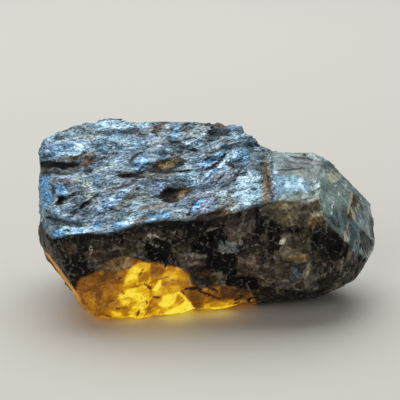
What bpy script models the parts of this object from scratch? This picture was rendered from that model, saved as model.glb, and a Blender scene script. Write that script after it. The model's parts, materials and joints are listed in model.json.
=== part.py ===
"""A raw zircon: one broken crystal about 50 mm long, lying on a small flat spot.

The stone is two convex blocks grown together, the trunk and the pointed end. Plates, steps, ribs,
bosses and lobes are rooted in them, the whole is fused into one skin, hollows are sunk in it, and
the skin is thinned to flat facets. The underside is cut flat where the stone rests.
"""

import math
import random
from typing import NamedTuple

import bmesh
import bpy
import numpy as np
from mathutils import Matrix, Vector
from mathutils.bvhtree import BVHTree

MM = 0.001
SEED = 31

# Corners of the broken trunk, in millimetres: X along the stone, Y away from the front, Z up.
TRUNK_CORNERS = {
    "crest_left": (-21.1, -8.0, 12.9),
    "crest_second": (-13.2, -8.6, 14.6),
    "crest_third": (-4.8, -8.4, 16.2),
    "crest_fourth": (3.8, -7.5, 16.8),
    "crest_right": (7.9, -6.5, 17.6),
    "shoulder_low": (-24.9, 8.5, 21.2),
    "shoulder_high": (-24.1, 9.5, 22.4),
    "rim_left": (-20.4, 11.0, 23.9),
    "rim_top": (-14.8, 12.0, 24.4),
    "rim_middle": (-7.2, 12.0, 24.0),
    "rim_right": (1.5, 11.5, 23.7),
    "rim_drop_start": (4.6, 10.0, 23.9),
    "rim_drop_middle": (7.7, 8.5, 22.0),
    "rim_drop_end": (9.3, 7.0, 20.7),
    "left_edge_top": (-23.9, -2.0, 12.0),
    "left_edge_middle": (-23.8, -3.0, 10.3),
    "left_edge_low": (-22.7, -4.5, 8.8),
    "left_edge_foot": (-18.0, -7.0, 3.9),
    "heel_top": (-18.9, -8.9, 7.4),
    "heel_edge": (-16.3, -8.6, 1.8),
    "heel_left": (-14.5, -6.8, 0.3),
    "heel_front": (-12.0, -7.5, 0.3),
    "sole_front": (-6.8, -5.2, 0.3),
    "sole_right": (4.2, -2.2, 0.3),
    "sole_back_left": (-13.0, 7.5, 1.3),
    "sole_back_right": (5.0, 8.5, 1.6),
    "rest_front_left": (-7.0, -1.5, -0.25),
    "rest_front_right": (2.0, -0.5, -0.25),
    "rest_back_right": (3.0, 5.6, -0.25),
    "rest_back_left": (-6.0, 5.6, -0.25),
    "back_left_low": (-18.0, 11.5, 5.0),
    "back_left_middle": (-23.0, 9.5, 9.0),
    "back_left_high": (-21.5, 12.0, 13.0),
    "back_rim_left": (-19.5, 13.0, 19.0),
    "back_rim_right": (3.0, 13.5, 19.0),
    "back_foot_right": (4.0, 13.8, 9.0),
    "back_foot_left": (-14.0, 14.0, 10.0),
    "inner_front": (9.0, -5.0, 5.0),
    "inner_back": (9.0, 9.0, 5.0),
    "inner_top": (9.5, 9.5, 16.0),
}

# Corners of the pointed end, in the same frame.
END_CORNERS = {
    "root_front_top": (-2.0, -7.0, 15.0),
    "root_back_top": (-2.0, 8.0, 20.5),
    "root_back_low": (0.0, 9.0, 1.0),
    "root_front_low": (0.0, -5.0, 2.5),
    "roof_back_left": (9.1, 7.5, 20.7),
    "roof_back": (15.3, 7.0, 20.3),
    "roof_back_right": (17.0, 6.8, 20.2),
    "roof_front_left": (8.2, -6.2, 17.8),
    "roof_front_right": (15.3, -3.5, 18.2),
    "point_upper": (18.2, 6.3, 19.4),
    "point_slope": (22.2, 5.0, 15.5),
    "point_tip_high": (24.2, 4.0, 13.5),
    "point_tip": (24.7, 3.0, 11.1),
    "point_tip_low": (24.7, 1.5, 7.9),
    "ridge_top": (16.0, -6.0, 16.7),
    "ridge_middle": (19.1, -6.3, 12.1),
    "ridge_low": (21.3, -4.5, 8.0),
    "point_under_high": (23.6, 0.0, 6.3),
    "point_under": (21.7, -1.5, 4.0),
    "belly_right": (12.5, -8.8, 12.4),
    "belly_left": (3.8, -8.4, 13.0),
    "keel_left": (4.0, -6.0, 4.2),
    "keel_middle": (10.9, -6.6, 4.8),
    "keel_right": (16.5, -6.6, 5.7),
    "keel_end": (19.3, -6.0, 7.3),
    "under_front": (15.0, -2.5, 1.2),
    "under_middle": (17.5, -3.0, 2.6),
    "under_right": (19.7, -2.6, 3.7),
    "sole_left": (4.2, -2.2, 0.3),
    "sole_tip": (11.1, -0.9, 0.5),
    "under_back": (14.0, 5.0, 0.3),
    "under_back_right": (19.0, 5.0, 3.0),
    "back_point_low": (22.5, 5.0, 7.0),
    "back_point_high": (22.0, 8.0, 13.0),
    "back_roof": (14.5, 10.5, 17.5),
    "back_root": (8.0, 13.0, 9.0),
    "back_foot": (17.0, 9.5, 7.0),
}

VOXEL = 0.28 * MM
TRIANGLES = 9300
CUTTER_SIZE = (0.08, 0.06, 0.01)

# How deep the foot of a growth is buried, how much it narrows, and where rays start.
ROOT = 2.4 * MM
FOOT_SCALE = 0.9
FAR = 60 * MM
DRAW_IN = 0.85
SMALLEST = 0.1 * MM
# The slabs of the front: how far out their middles and their corners are, and how many sides.
SLAB_LIFT = 0.3 * MM
SLAB_PROUD = 0.7 * MM
SLAB_SIDES = 7

# Where growths are tried, in millimetres, and how squarely a face must lie to take one.
TOP_WIDTH = (-9.0, 13.4)
TRUNK_LENGTH = (-25.0, 9.5)
ROOF_LENGTH = (7.0, 20.0)
FLANK_BOX = ((-23, 22), (-7, 12), (1.5, 19))
POINT_FACE = ((-7.0, 8.0), (4.0, 20.0))
POINT_START = 14 * MM
TOP_SQUARE = 0.3
SIDE_SQUARE = 0.45
STEP_HEADING = 45
RIB_HEADING = 104

# How the grain of the top turns, in degrees, from the left end to the junction.
GRAIN_LEFT = -8
GRAIN_TURN = 44
GRAIN_FROM = -24.5 * MM
GRAIN_SPAN = 34.5 * MM
GRAIN_POWER = 1.4

# Thin gaps between the plates: how many, where, and their length, width, depth (mm) and scatter.
GAPS = 95
GAP_AREA = ((-23.5, 9.0), (-7.5, 11.5))
GAP_LENGTH = (2.2, 6.5)
GAP_WIDTH = (0.5, 1.3)
GAP_DEPTH = (0.3, 0.7)
GAP_SCATTER = 10

# The bowl of a hollow and the skewed window of a front one; a hollow reaches this far in or out.
BOWL_POWER = 0.7
BOWL_MIDDLE = 0.75
BOWL_SLANT = 0.45
WINDOW_SKEW = 0.35
WINDOW_WALL = 4
WINDOW_MIDDLE = 0.5
HOLLOW_REACH = 2.5 * MM


class Growth(NamedTuple):
    """One kind of growth: how many are tried, and how they vary, in millimetres and degrees.

    Ranges of length, of width over length, of sides, of pitch and of lift; how pinched the two
    tips are; the scatter of heading and roll; and how far a corner may stand out of the blocks.
    """

    tries: int
    length: tuple
    aspect: tuple
    sides: tuple
    pinch: float
    scatter: float
    pitch: tuple
    roll: float
    lift: tuple
    proud: float


class Hollow(NamedTuple):
    """A hollow: where it is seen from its side, length, width, depth (mm) and heading (degrees)."""

    at: tuple
    length: float
    width: float
    depth: float
    heading: float


TOP_PLATES = Growth(560, (1.5, 7.0), (0.3, 0.5), (6, 7, 8, 9), 0.35, 13, (-20, -3), 5, (-0.3, 0.35), 0.5)
ROOF_PLATES = Growth(130, (1.6, 4.5), (0.4, 0.8), (5, 6, 7), 0.1, 30, (-15, 8), 7, (-0.2, 0.35), 0.5)
FRONT_STEPS = Growth(120, (2.0, 6.5), (0.5, 1.0), (4, 5), 0.0, 14, (-11, 11), 9, (-0.1, 0.3), 0.5)
BACK_STEPS = Growth(120, (2.2, 7.0), (0.5, 1.0), (4, 5, 6), 0.0, 16, (-12, 12), 10, (-0.1, 0.4), 0.6)
UNDER_STEPS = BACK_STEPS._replace(tries=90, lift=(-0.2, 0.2), proud=0.25)
LEFT_STEPS = BACK_STEPS._replace(tries=80, length=(1.8, 5.0))
POINT_RIBS = Growth(70, (2.5, 7.0), (0.2, 0.36), (6,), 0.3, 9, (-6, 6), 3, (-0.1, 0.3), 0.35)

# Each flank's growths, with the direction it faces.
FLANKS = (
    (FRONT_STEPS, (0, -1, 0)),
    (BACK_STEPS, (0, 1, 0)),
    (UNDER_STEPS, (0, 0, -1)),
    (UNDER_STEPS, (0, 1, -1)),
    (UNDER_STEPS, (0, -1, -2)),
    (LEFT_STEPS, (-1, 0, 0)),
)

# Swellings of the sole, heel and front: centre, half sizes (mm) and turn about Z (degrees).
LOBES = {
    "heel": ((-13.0, -5.3, 3.5), (5.8, 3.7, 3.4), 6),
    "toe": ((-9.4, -5.9, 7.6), (2.6, 3.0, 2.7), -8),
    "instep": ((-5.0, -4.9, 4.4), (3.8, 3.2, 4.2), 10),
    "ball": ((1.2, -3.7, 3.4), (6.4, 2.9, 2.8), 16),
    "tall_lump": ((6.7, -6.2, 14.2), (1.5, 2.1, 2.4), 0),
    "round_lump": ((10.8, -5.4, 15.4), (2.7, 2.9, 1.9), 8),
    "far_lump": ((14.8, -5.2, 14.6), (2.4, 2.4, 2.1), 14),
    "low_lump": ((11.0, -6.6, 10.0), (2.6, 2.0, 2.3), 4),
}

# Slanted slabs on the front: X and Z of the middle, length, width (mm), heading and slant (degrees).
SLABS = {
    "brow": ((-1.4, 14.0), 6.0, 2.6, 12, 10),
    "cheek": ((4.4, 12.6), 4.2, 3.2, -24, -9),
    "left_flat": ((-18.2, 9.6), 4.4, 3.4, 8, -7),
    "left_brow": ((-14.8, 12.4), 5.6, 2.0, 12, 11),
    "middle_flat": ((-10.6, 11.4), 4.8, 3.4, 4, 8),
    "waist_flat": ((-1.6, 9.4), 5.2, 2.8, -6, -9),
    "right_flat": ((7.0, 8.4), 4.8, 3.8, -8, 9),
    "pale_rib": ((13.8, 8.2), 4.4, 1.5, 84, 22),
    "rib_head": ((12.8, 10.8), 3.6, 1.8, -12, 12),
    "rim_slab": ((11.0, 5.0), 7.4, 2.2, 12, 10),
    "far_rim_slab": ((17.0, 8.2), 5.2, 2.2, 30, 9),
}

TOP_HOLLOWS = {
    "long_rift": Hollow((-20.4, 2.6), 9.0, 2.4, 1.1, 2),
    "rift_end": Hollow((-15.6, 3.4), 4.4, 1.6, 0.7, 12),
    "left_pit": Hollow((-19.6, -2.2), 4.2, 1.8, 0.9, 18),
    "left_pit_low": Hollow((-17.4, -4.2), 4.0, 1.3, 0.8, 30),
    "amber_hollow": Hollow((-5.6, 3.9), 4.6, 2.4, 1.0, 22),
    "seam": Hollow((-7.6, 1.6), 13.0, 0.9, 0.6, 4),
    "almond_hollow": Hollow((-4.0, -2.6), 5.2, 2.5, 1.2, 26),
    "dark_notch": Hollow((2.2, 9.6), 4.4, 3.2, 1.0, 8),
    "lobe_cleft": Hollow((0.9, 2.3), 6.4, 0.8, 0.6, 44),
    "lobe_cleft_low": Hollow((3.6, 0.2), 6.0, 0.8, 0.6, 42),
    "junction_valley": Hollow((8.9, 1.2), 13.0, 1.6, 0.8, 92),
}

FRONT_HOLLOWS = {
    "black_window": Hollow((-6.3, 10.4), 4.0, 4.2, 0.9, 14),
    "slant_window": Hollow((0.8, 12.0), 5.4, 3.0, 0.8, 30),
    "tall_slot": Hollow((8.8, 13.0), 4.8, 1.9, 1.0, 80),
    "low_window": Hollow((2.8, 8.4), 3.6, 3.2, 0.8, -8),
    "rim_window": Hollow((5.6, 5.6), 4.4, 1.9, 0.6, -14),
    "left_window": Hollow((-14.4, 10.2), 4.6, 2.2, 0.6, 16),
    "far_window": Hollow((17.2, 11.0), 3.8, 3.0, 0.7, -34),
}


def clear_scene():
    """Remove whatever the scene holds."""
    for obj in list(bpy.data.objects):
        bpy.data.objects.remove(obj, do_unlink=True)


def add_block(stone, corners):
    """Add the convex hull of named corners, given in millimetres, and return its faces' planes."""
    verts = [stone.verts.new(Vector(corner) * MM) for corner in corners.values()]
    made = bmesh.ops.convex_hull(stone, input=verts)
    spare = {v for v in made["geom_interior"] if isinstance(v, bmesh.types.BMVert)}
    bmesh.ops.delete(stone, geom=list(spare), context="VERTS")
    faces = {face for vert in verts if vert.is_valid for face in vert.link_faces}
    bmesh.ops.recalc_face_normals(stone, faces=list(faces))
    return [(face.normal.copy(), face.normal.dot(face.verts[0].co)) for face in faces]


def height_above(blocks, point):
    """How far a point stands out of the blocks; negative inside one."""
    return min(max(normal.dot(point) - reach for normal, reach in block) for block in blocks)


def surface_frame(point, normal, along, heading=0.0, pitch=0.0, roll=0.0, lift=0.0):
    """A matrix at a point of the surface: Z out of it, X along the grain, then tilted."""
    grain = (along - normal * along.dot(normal)).normalized()
    across = normal.cross(grain)
    axes = Matrix((grain, across, normal)).transposed().to_4x4()
    turn = Matrix.Rotation(heading, 4, "Z")
    tilt = Matrix.Rotation(pitch, 4, "X") @ Matrix.Rotation(roll, 4, "Y")
    return Matrix.Translation(point + normal * lift) @ axes @ turn @ tilt


def cast(tree, start, direction):
    """Where a ray first meets the blocks, and the normal there, or None."""
    point, normal, _, _ = tree.ray_cast(Vector(start), Vector(direction))
    return None if point is None else (point, normal)


def cast_down(tree, x, y):
    """Where the top is, at X and Y."""
    return cast(tree, (x, y, FAR), (0, 0, -1))


def cast_back(tree, x, z):
    """Where the front is, at X and Z."""
    return cast(tree, (x, -FAR, z), (0, 1, 0))


def plate_outline(length, width, sides, pinch, rng):
    """An uneven outline round the origin, pinched to two tips along X."""
    outline = []
    for index in range(sides):
        angle = math.tau * (index + 0.5) / sides
        reach = 0.5 * rng.uniform(0.8, 1.2)
        narrow = (1.0 - pinch) + pinch * abs(math.sin(angle))
        x = math.cos(angle) * length * reach
        outline.append(Vector((x, math.sin(angle) * width * reach * narrow, 0.0)))
    return outline


def add_plate(stone, blocks, frame, outline, proud):
    """Root a plate with that outline in the stone, drawn in wherever it stands too proud."""
    for corner in outline:
        while height_above(blocks, frame @ corner) > proud and corner.length > SMALLEST:
            corner *= DRAW_IN
    ring = bmesh.ops.create_circle(stone, cap_ends=True, segments=len(outline), radius=1.0)["verts"]
    for vert, corner in zip(ring, outline):
        vert.co = corner
    grown = bmesh.ops.extrude_face_region(stone, geom=[ring[0].link_faces[0]])["geom"]
    foot = [v for v in grown if isinstance(v, bmesh.types.BMVert)]
    for vert in foot:
        vert.co = Vector((vert.co.x * FOOT_SCALE, vert.co.y * FOOT_SCALE, -ROOT))
    bmesh.ops.transform(stone, matrix=frame, verts=ring + foot)


def grow(stone, blocks, growth, hit, along, heading, rng):
    """Root one growth where a ray met the blocks."""
    low, high = growth.length
    length = low * (high / low) ** rng.random() * MM
    width = length * rng.uniform(*growth.aspect)
    turn = math.radians(rng.gauss(heading, growth.scatter))
    pitch = math.radians(rng.uniform(*growth.pitch))
    roll = math.radians(rng.gauss(0, growth.roll))
    lift = rng.uniform(*growth.lift) * MM
    frame = surface_frame(*hit, along, turn, pitch, roll, lift)
    outline = plate_outline(length, width, rng.choice(growth.sides), growth.pinch, rng)
    add_plate(stone, blocks, frame, outline, growth.proud * MM)


def grain_heading(x):
    """The heading of the top's grain at X, in degrees."""
    share = min(1.0, max(0.0, (x - GRAIN_FROM) / GRAIN_SPAN))
    return GRAIN_LEFT + GRAIN_TURN * share ** GRAIN_POWER


def plate_top(stone, blocks, tree, rng):
    """Overlapping plates on the broken top, and broader ones on the roof of the end."""
    along = Vector((1, 0, 0))
    for growth, reach in ((TOP_PLATES, TRUNK_LENGTH), (ROOF_PLATES, ROOF_LENGTH)):
        for _ in range(growth.tries):
            hit = cast_down(tree, rng.uniform(*reach) * MM, rng.uniform(*TOP_WIDTH) * MM)
            if hit and hit[1].z > TOP_SQUARE:
                grow(stone, blocks, growth, hit, along, grain_heading(hit[0].x), rng)


def step_flank(stone, blocks, tree, rng, growth, outward):
    """Low blunt steps on one flank, side on to the crystal's axis."""
    along = Vector((0, 1, 0)) if outward[0] else Vector((1, 0, 0))
    outward = Vector(outward).normalized()
    for _ in range(growth.tries):
        inside = Vector(rng.uniform(*reach) for reach in FLANK_BOX) * MM
        hit = cast(tree, inside + outward * FAR, -outward)
        if hit and hit[1].dot(outward) > SIDE_SQUARE:
            grow(stone, blocks, growth, hit, along, STEP_HEADING, rng)


def rib_point(stone, blocks, tree, rng):
    """Long narrow ribs down the glassy point."""
    for _ in range(POINT_RIBS.tries):
        y, z = (rng.uniform(*reach) * MM for reach in POINT_FACE)
        hit = cast(tree, (FAR, y, z), (-1, 0, 0))
        if hit and hit[1].x > SIDE_SQUARE and hit[0].x > POINT_START:
            grow(stone, blocks, POINT_RIBS, hit, Vector((0, 1, 0)), RIB_HEADING, rng)


def slab_front(stone, blocks, tree, rng):
    """The named slabs of the front."""
    for (x, z), length, width, heading, slant in SLABS.values():
        hit = cast_back(tree, x * MM, z * MM)
        turn, tilt = math.radians(heading), math.radians(slant)
        frame = surface_frame(*hit, Vector((1, 0, 0)), turn, tilt, lift=SLAB_LIFT)
        outline = plate_outline(length * MM, width * MM, SLAB_SIDES, 0.0, rng)
        add_plate(stone, blocks, frame, outline, SLAB_PROUD)


def add_lobe(stone, centre, half_sizes, turn):
    """Swell the stone with an ellipsoid."""
    verts = bmesh.ops.create_icosphere(stone, subdivisions=3, radius=1.0)["verts"]
    shape = Matrix.Diagonal((*(Vector(half_sizes) * MM), 1.0))
    place = Matrix.Translation(Vector(centre) * MM) @ Matrix.Rotation(math.radians(turn), 4, "Z")
    bmesh.ops.transform(stone, matrix=place @ shape, verts=verts)


def random_gap(tree, rng):
    """A thin gap between plates somewhere on the top, along the grain there."""
    hit = None
    while not hit or hit[1].z < TOP_SQUARE:
        x, y = (rng.uniform(*reach) for reach in GAP_AREA)
        hit = cast_down(tree, x * MM, y * MM)
    length, width, depth = (rng.uniform(*reach) for reach in (GAP_LENGTH, GAP_WIDTH, GAP_DEPTH))
    return Hollow((x, y), length, width, depth, rng.gauss(grain_heading(hit[0].x), GAP_SCATTER))


def sink(points, hollow, hit, blocky):
    """Sink one hollow into an array of points, deepest under its far wall."""
    frame = surface_frame(*hit, Vector((1, 0, 0)), math.radians(hollow.heading))
    local = np.array(frame.inverted())
    place = points @ local[:3, :3].T + local[:3, 3]
    along = 2 * place[:, 0] / (hollow.length * MM)
    across = 2 * place[:, 1] / (hollow.width * MM)
    if blocky:
        inset = 1 - np.maximum(abs(along + WINDOW_SKEW * across), abs(across))
        bowl = np.clip(inset * WINDOW_WALL, 0, 1) * WINDOW_MIDDLE * (1 + across)
    else:
        inset = np.clip(1 - along ** 2 - across ** 2, 0, 1)
        bowl = inset ** BOWL_POWER * (BOWL_MIDDLE + BOWL_SLANT * across)
    bowl[abs(place[:, 2]) > HOLLOW_REACH] = 0
    points -= np.outer(bowl * hollow.depth * MM, np.array(hit[1]))


def hollow_out(skin, tree, rng):
    """Sink all the hollows into a fine skin."""
    points = np.array([vert.co for vert in skin.vertices])
    gaps = [random_gap(tree, rng) for _ in range(GAPS)]
    for hollow in [*TOP_HOLLOWS.values(), *gaps]:
        sink(points, hollow, cast_down(tree, hollow.at[0] * MM, hollow.at[1] * MM), blocky=False)
    for hollow in FRONT_HOLLOWS.values():
        sink(points, hollow, cast_back(tree, hollow.at[0] * MM, hollow.at[1] * MM), blocky=True)
    skin.vertices.foreach_set("co", points.ravel())
    skin.update()


def finished_mesh(obj):
    """The object's mesh with its modifiers applied."""
    graph = bpy.context.evaluated_depsgraph_get()
    return bpy.data.meshes.new_from_object(obj.evaluated_get(graph))


def new_object(name, source, collection):
    """A named object from a bmesh or a mesh, linked to a collection."""
    mesh = source
    if isinstance(source, bmesh.types.BMesh):
        bmesh.ops.recalc_face_normals(source, faces=source.faces)
        mesh = bpy.data.meshes.new(name)
        source.to_mesh(mesh)
        source.free()
    obj = bpy.data.objects.new(name, mesh)
    collection.objects.link(obj)
    return obj


def new_collection(name):
    """A collection linked to the scene."""
    made = bpy.data.collections.new(name)
    bpy.context.scene.collection.children.link(made)
    return made


def stone_material():
    """The dark smoky brown of the stone."""
    material = bpy.data.materials.new("smoky_brown_zircon")
    material.use_nodes = True
    shader = material.node_tree.nodes["Principled BSDF"]
    shader.inputs["Base Color"].default_value = (0.12, 0.085, 0.07, 1.0)
    shader.inputs["Roughness"].default_value = 0.28
    shader.inputs["IOR"].default_value = 1.95
    return material


def fused_skin(collection):
    """The blocks with all that is rooted in them, fused into one fine skin with its hollows."""
    rng = random.Random(SEED)
    stone = bmesh.new()
    blocks = [add_block(stone, TRUNK_CORNERS), add_block(stone, END_CORNERS)]
    tree = BVHTree.FromBMesh(stone)
    plate_top(stone, blocks, tree, rng)
    for growth, outward in FLANKS:
        step_flank(stone, blocks, tree, rng, growth, outward)
    rib_point(stone, blocks, tree, rng)
    slab_front(stone, blocks, tree, rng)
    for centre, half_sizes, turn in LOBES.values():
        add_lobe(stone, centre, half_sizes, turn)
    rough = new_object("rough", stone, collection)
    fuse = rough.modifiers.new("fuse", "REMESH")
    fuse.mode = "VOXEL"
    fuse.voxel_size = VOXEL
    skin = finished_mesh(rough)
    bpy.data.objects.remove(rough, do_unlink=True)
    hollow_out(skin, tree, rng)
    return skin


def centre_over_base(skin):
    """Move a skin so that the middle of its bounding box is over the origin."""
    points = np.array([vert.co for vert in skin.vertices])
    middle = (points.min(axis=0) + points.max(axis=0)) / 2
    skin.transform(Matrix.Translation((-middle[0], -middle[1], 0.0)))


def sole_cutter(collection):
    """A slab below the floor level, which cuts the resting spot flat."""
    slab = bmesh.new()
    bmesh.ops.create_cube(slab, size=1.0)
    bmesh.ops.transform(slab, matrix=Matrix.Diagonal((*CUTTER_SIZE, 1.0)), verts=slab.verts)
    bmesh.ops.translate(slab, vec=(0, 0, -CUTTER_SIZE[2] / 2), verts=slab.verts)
    cutter = new_object("sole_cutter", slab, collection)
    cutter.hide_render = True
    cutter.display_type = "WIRE"
    return cutter


def main():
    """Build the stone."""
    clear_scene()
    parts = new_collection("raw_zircon")
    cutters = new_collection("cutters")
    skin = fused_skin(parts)
    centre_over_base(skin)
    stone = new_object("zircon", skin, parts)
    thin = stone.modifiers.new("thin", "DECIMATE")
    thin.ratio = TRIANGLES / (2 * len(stone.data.polygons))
    cut = stone.modifiers.new("resting_spot", "BOOLEAN")
    cut.operation = "DIFFERENCE"
    cut.object = sole_cutter(cutters)
    stone.data.materials.clear()
    stone.data.materials.append(stone_material())


main()
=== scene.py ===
"""Looks of a raw zircon, one broken crystal about 50 mm long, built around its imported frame.

The frame's skin is copied, set with small chips along its grain, fused, split into flat facets and
coloured in named marks. Loose-edged flakes stand on the broken top. Sizes are in millimetres and are
turned into metres where a mesh is written. The places of the marks are pixels of the camera's
picture, across and down from its top left corner, and each point of the stone takes the marks of the
pixel that it falls on.
"""

import functools
import json
import logging
import math
import random
from dataclasses import dataclass
from enum import Enum, IntEnum

import bmesh
import bpy
import numpy as np
from mathutils import Matrix, Vector
from mathutils.bvhtree import BVHTree
from mathutils.kdtree import KDTree

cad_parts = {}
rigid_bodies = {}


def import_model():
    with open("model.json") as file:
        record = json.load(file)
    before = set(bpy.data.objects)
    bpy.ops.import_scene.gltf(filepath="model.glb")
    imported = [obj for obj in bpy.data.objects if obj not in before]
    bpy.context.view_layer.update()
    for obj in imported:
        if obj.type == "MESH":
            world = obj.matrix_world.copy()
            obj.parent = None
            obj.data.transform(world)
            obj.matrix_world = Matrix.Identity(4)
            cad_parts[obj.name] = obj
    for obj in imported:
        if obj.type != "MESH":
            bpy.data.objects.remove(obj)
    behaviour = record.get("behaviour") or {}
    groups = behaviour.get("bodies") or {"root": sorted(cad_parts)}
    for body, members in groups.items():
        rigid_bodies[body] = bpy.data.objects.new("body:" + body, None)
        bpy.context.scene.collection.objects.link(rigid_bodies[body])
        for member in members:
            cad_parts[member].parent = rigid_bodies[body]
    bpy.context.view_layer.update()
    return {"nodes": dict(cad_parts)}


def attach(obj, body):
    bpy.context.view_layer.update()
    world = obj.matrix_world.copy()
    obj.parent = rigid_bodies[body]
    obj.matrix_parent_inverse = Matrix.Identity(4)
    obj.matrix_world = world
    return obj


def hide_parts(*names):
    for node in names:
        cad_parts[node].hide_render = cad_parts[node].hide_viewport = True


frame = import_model()

LOG = logging.getLogger("zircon")
MM = 0.001
NODE = "zircon"
BODY = "root"

Places = tuple[tuple[float, float], ...]

# Pixels of the picture from left to right: the crest over the front, and just inside the back rim.
CREST = (
    (41, 222), (46, 233), (53, 239), (92, 233), (117, 231), (148, 222), (173, 219), (200, 220),
    (231, 213), (267, 202), (291, 202), (317, 195), (339, 213), (371, 228),
)
RIM = (
    (45, 146), (61, 133), (107, 122), (206, 128), (239, 131), (257, 147), (270, 154), (320, 161),
    (342, 180), (367, 209),
)
# Pixels around the part of the foot that is lit from inside.
FOOT = (
    (74, 330), (76, 293), (81, 279), (95, 274), (103, 269), (118, 271), (128, 268), (137, 263),
    (150, 262), (170, 265), (182, 268), (190, 276), (192, 286), (206, 288), (219, 287), (233, 288),
    (251, 294), (256, 303), (262, 330),
)
# Where the left end and the start of the pointed end lie along the stone, in millimetres.
LEFT_END = -25.0
JUNCTION = 9.5

# The camera: what it looks at and from how far off, in millimetres, how high up it stands, in degrees,
# its lens and its sensor, the width of its picture in pixels, and the pixels to one millimetre.
AIM = (-0.92, -2.507, 15.7)
AWAY = 135.3
ELEVATION = 20.0
LENS = 85.0
SENSOR = 36.0
PICTURE = 400.0
PIXELS = PICTURE * LENS / SENSOR / AWAY

# How the grain of the broken top turns, in degrees, from the left end to the junction.
GRAIN_LEFT = -8.0
GRAIN_TURN = 52.0
GRAIN_FROM = -24.5
GRAIN_SPAN = 34.5
GRAIN_POWER = 1.4

# How far the grain strays from its heading, in radians, the size of its bends, and the reach and the
# step of the sum that follows it, in millimetres.
SWIRL_TURN = 0.38
SWIRL_SIZE = 4.5
GRAIN_REACH = 30.0
GRAIN_STEP = 0.25

# Large odd numbers that scramble a cell and a seed into one fixed number.
CELL_PRIMES = (73856093, 19349663, 83492791)
SEED_PRIME = 2654435761
FIRST_PRIME = 1274126177
SECOND_PRIME = 668265263
WORD = 0xFFFFFFFF
HALF_WORD = float(0x7FFFFFFF)

# How each finer layer of noise is shifted and faded, and what their sum is multiplied by.
LAYER_SHIFT = 7.31
LAYER_FADE = 0.55
NOISE_GAIN = 1.5

# How steeply the edges of the top fall away, how far each lies under its line, and how far the top
# reaches under its plane, in millimetres.
EDGE_SLOPE = 0.9
LEFT_SLOPE = 1.1
FRONT_DROP = 0.15
BACK_DROP = 1.4
LEFT_DROP = 0.5
TOP_DROP = 2.6

# The glassy faces: where they start along the stone, and the line of the dark band under them.
GLASSY_FROM = 15.6
BAND_LEVEL = 33.4
BAND_SLOPE = 1.12
SOFT_EDGE = 0.3

# Where the front starts and is full, in millimetres from back to front, and how the view looks down.
FRONT_START = 1.0
FRONT_FULL = -2.0
TOWARDS_TOP = 0.342
TOWARDS_FRONT = 0.94

# How near a pixel lies to a mark to be measured, in millimetres, and the distance of all others.
NEAR = 2.0
FAR = 1e9

# How wide a line is in its middle, how much thinner at its ends, and how square and round marks are.
LINE_MIDDLE = 1.25
LINE_TAPER = 2.0
SQUARE = 6.0
ROUND = 2.2

# The lit foot: its middle and its radii in millimetres, and how far a lit pane covers what it lies on.
GLOW_MIDDLE = (-7.5, -2.0, 0.0)
GLOW_RADII = (12.5, 14.0, 8.5)
LIT_COVER = 0.95

# Colours on screen that the lit foot takes as it grows brighter.
FLAME = (
    (0.06, (0.0, 0.0, 0.0)),
    (0.2, (0.04, 0.012, 0.002)),
    (0.4, (0.18, 0.066, 0.006)),
    (0.6, (0.43, 0.185, 0.006)),
    (0.8, (0.74, 0.44, 0.006)),
    (1.0, (0.92, 0.74, 0.05)),
)

# How many times a chip is made smaller to fit, and how many chips are joined at a time.
TRIES = 4
BATCH = 150


class Seed(IntEnum):
    """Which noise, or which set of facets, is drawn."""

    BLOCKS = 3
    CHIPS = 4
    TOP_EDGE = 5
    JUNCTION_EDGE = 9
    SIDES = 21
    SHEEN = 33
    PLUM_GREY = 35
    CREAM = 37
    TAUPE = 39
    MARK_EDGE = 41
    TEAL_DARK = 43
    LIT_EDGE = 51
    LIT_LEVEL = 53
    LINE_EDGE = 61
    SWIRL = 71
    GRAIN_DRIFT = 73


class Tone(Enum):
    """Colours of the stone on screen, from 0 to 255, and how far each one shines from 0 to 1; the blue,
    white, silver and lilac tones of the broken top are painted sheen, a bluish sky's reflection laid into the
    colour.
    """

    ROOF = (126, 150, 164, 0.5)
    SHEEN = (104, 154, 190, 0.8)
    BRIGHT = (122, 184, 230, 0.9)
    PALE_BLUE = (136, 172, 192, 0.65)
    WHITE_BLUE = (176, 212, 228, 0.75)
    SILVER = (172, 192, 198, 0.6)
    LILAC = (126, 146, 176, 0.6)
    PLUM_GREY = (120, 134, 156, 0.5)
    CREAM = (176, 190, 180, 0.4)
    TAUPE = (112, 102, 88, 0.25)
    TEAL_DARK = (52, 78, 88, 0.3)
    SLATE = (40, 52, 60, 0.12)
    UMBER = (52, 38, 26, 0.05)
    EARTH = (24, 15, 9, 0.0)
    RUST = (112, 82, 54, 0.15)
    HONEY = (128, 104, 60, 0.1)
    INK = (13, 9, 8, 0.0)
    SMOKE = (33, 26, 21, 0.03)
    MIST = (74, 63, 52, 0.08)
    ASH = (112, 107, 98, 0.12)
    PALE = (176, 170, 158, 0.3)
    PLUM = (44, 34, 33, 0.05)
    OLIVE = (84, 80, 55, 0.05)
    LUMP = (118, 108, 88, 0.1)
    BEIGE = (212, 212, 182, 0.3)
    GREEN_GLASS = (138, 156, 148, 0.35)
    TEAL_GLASS = (92, 114, 118, 0.35)
    STEEL = (82, 102, 114, 0.35)
    GOLD = (140, 122, 74, 0.25)
    AMBER = (62, 36, 10, 0.0)
    TAN = (150, 124, 82, 0.1)
    DUST = (98, 83, 69, 0.08)
    MOSS = (112, 138, 110, 0.2)
    PALE_GLASS = (154, 170, 162, 0.3)
    WHITE_GLASS = (204, 218, 212, 0.35)
    PALE_STEEL = (142, 152, 148, 0.35)
    RIB = (96, 86, 66, 0.15)
    CREAM_GLASS = (204, 196, 162, 0.2)
    DIM_GLASS = (66, 72, 70, 0.15)
    PLUM_ROOF = (100, 103, 103, 0.3)

    def linear(self) -> np.ndarray:
        """The colour as linear light, with its shine as a fourth number."""
        screen = np.array(self.value[:3]) / 255.0
        return np.append(((screen + 0.055) / 1.055) ** 2.4, self.value[3])


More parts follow.
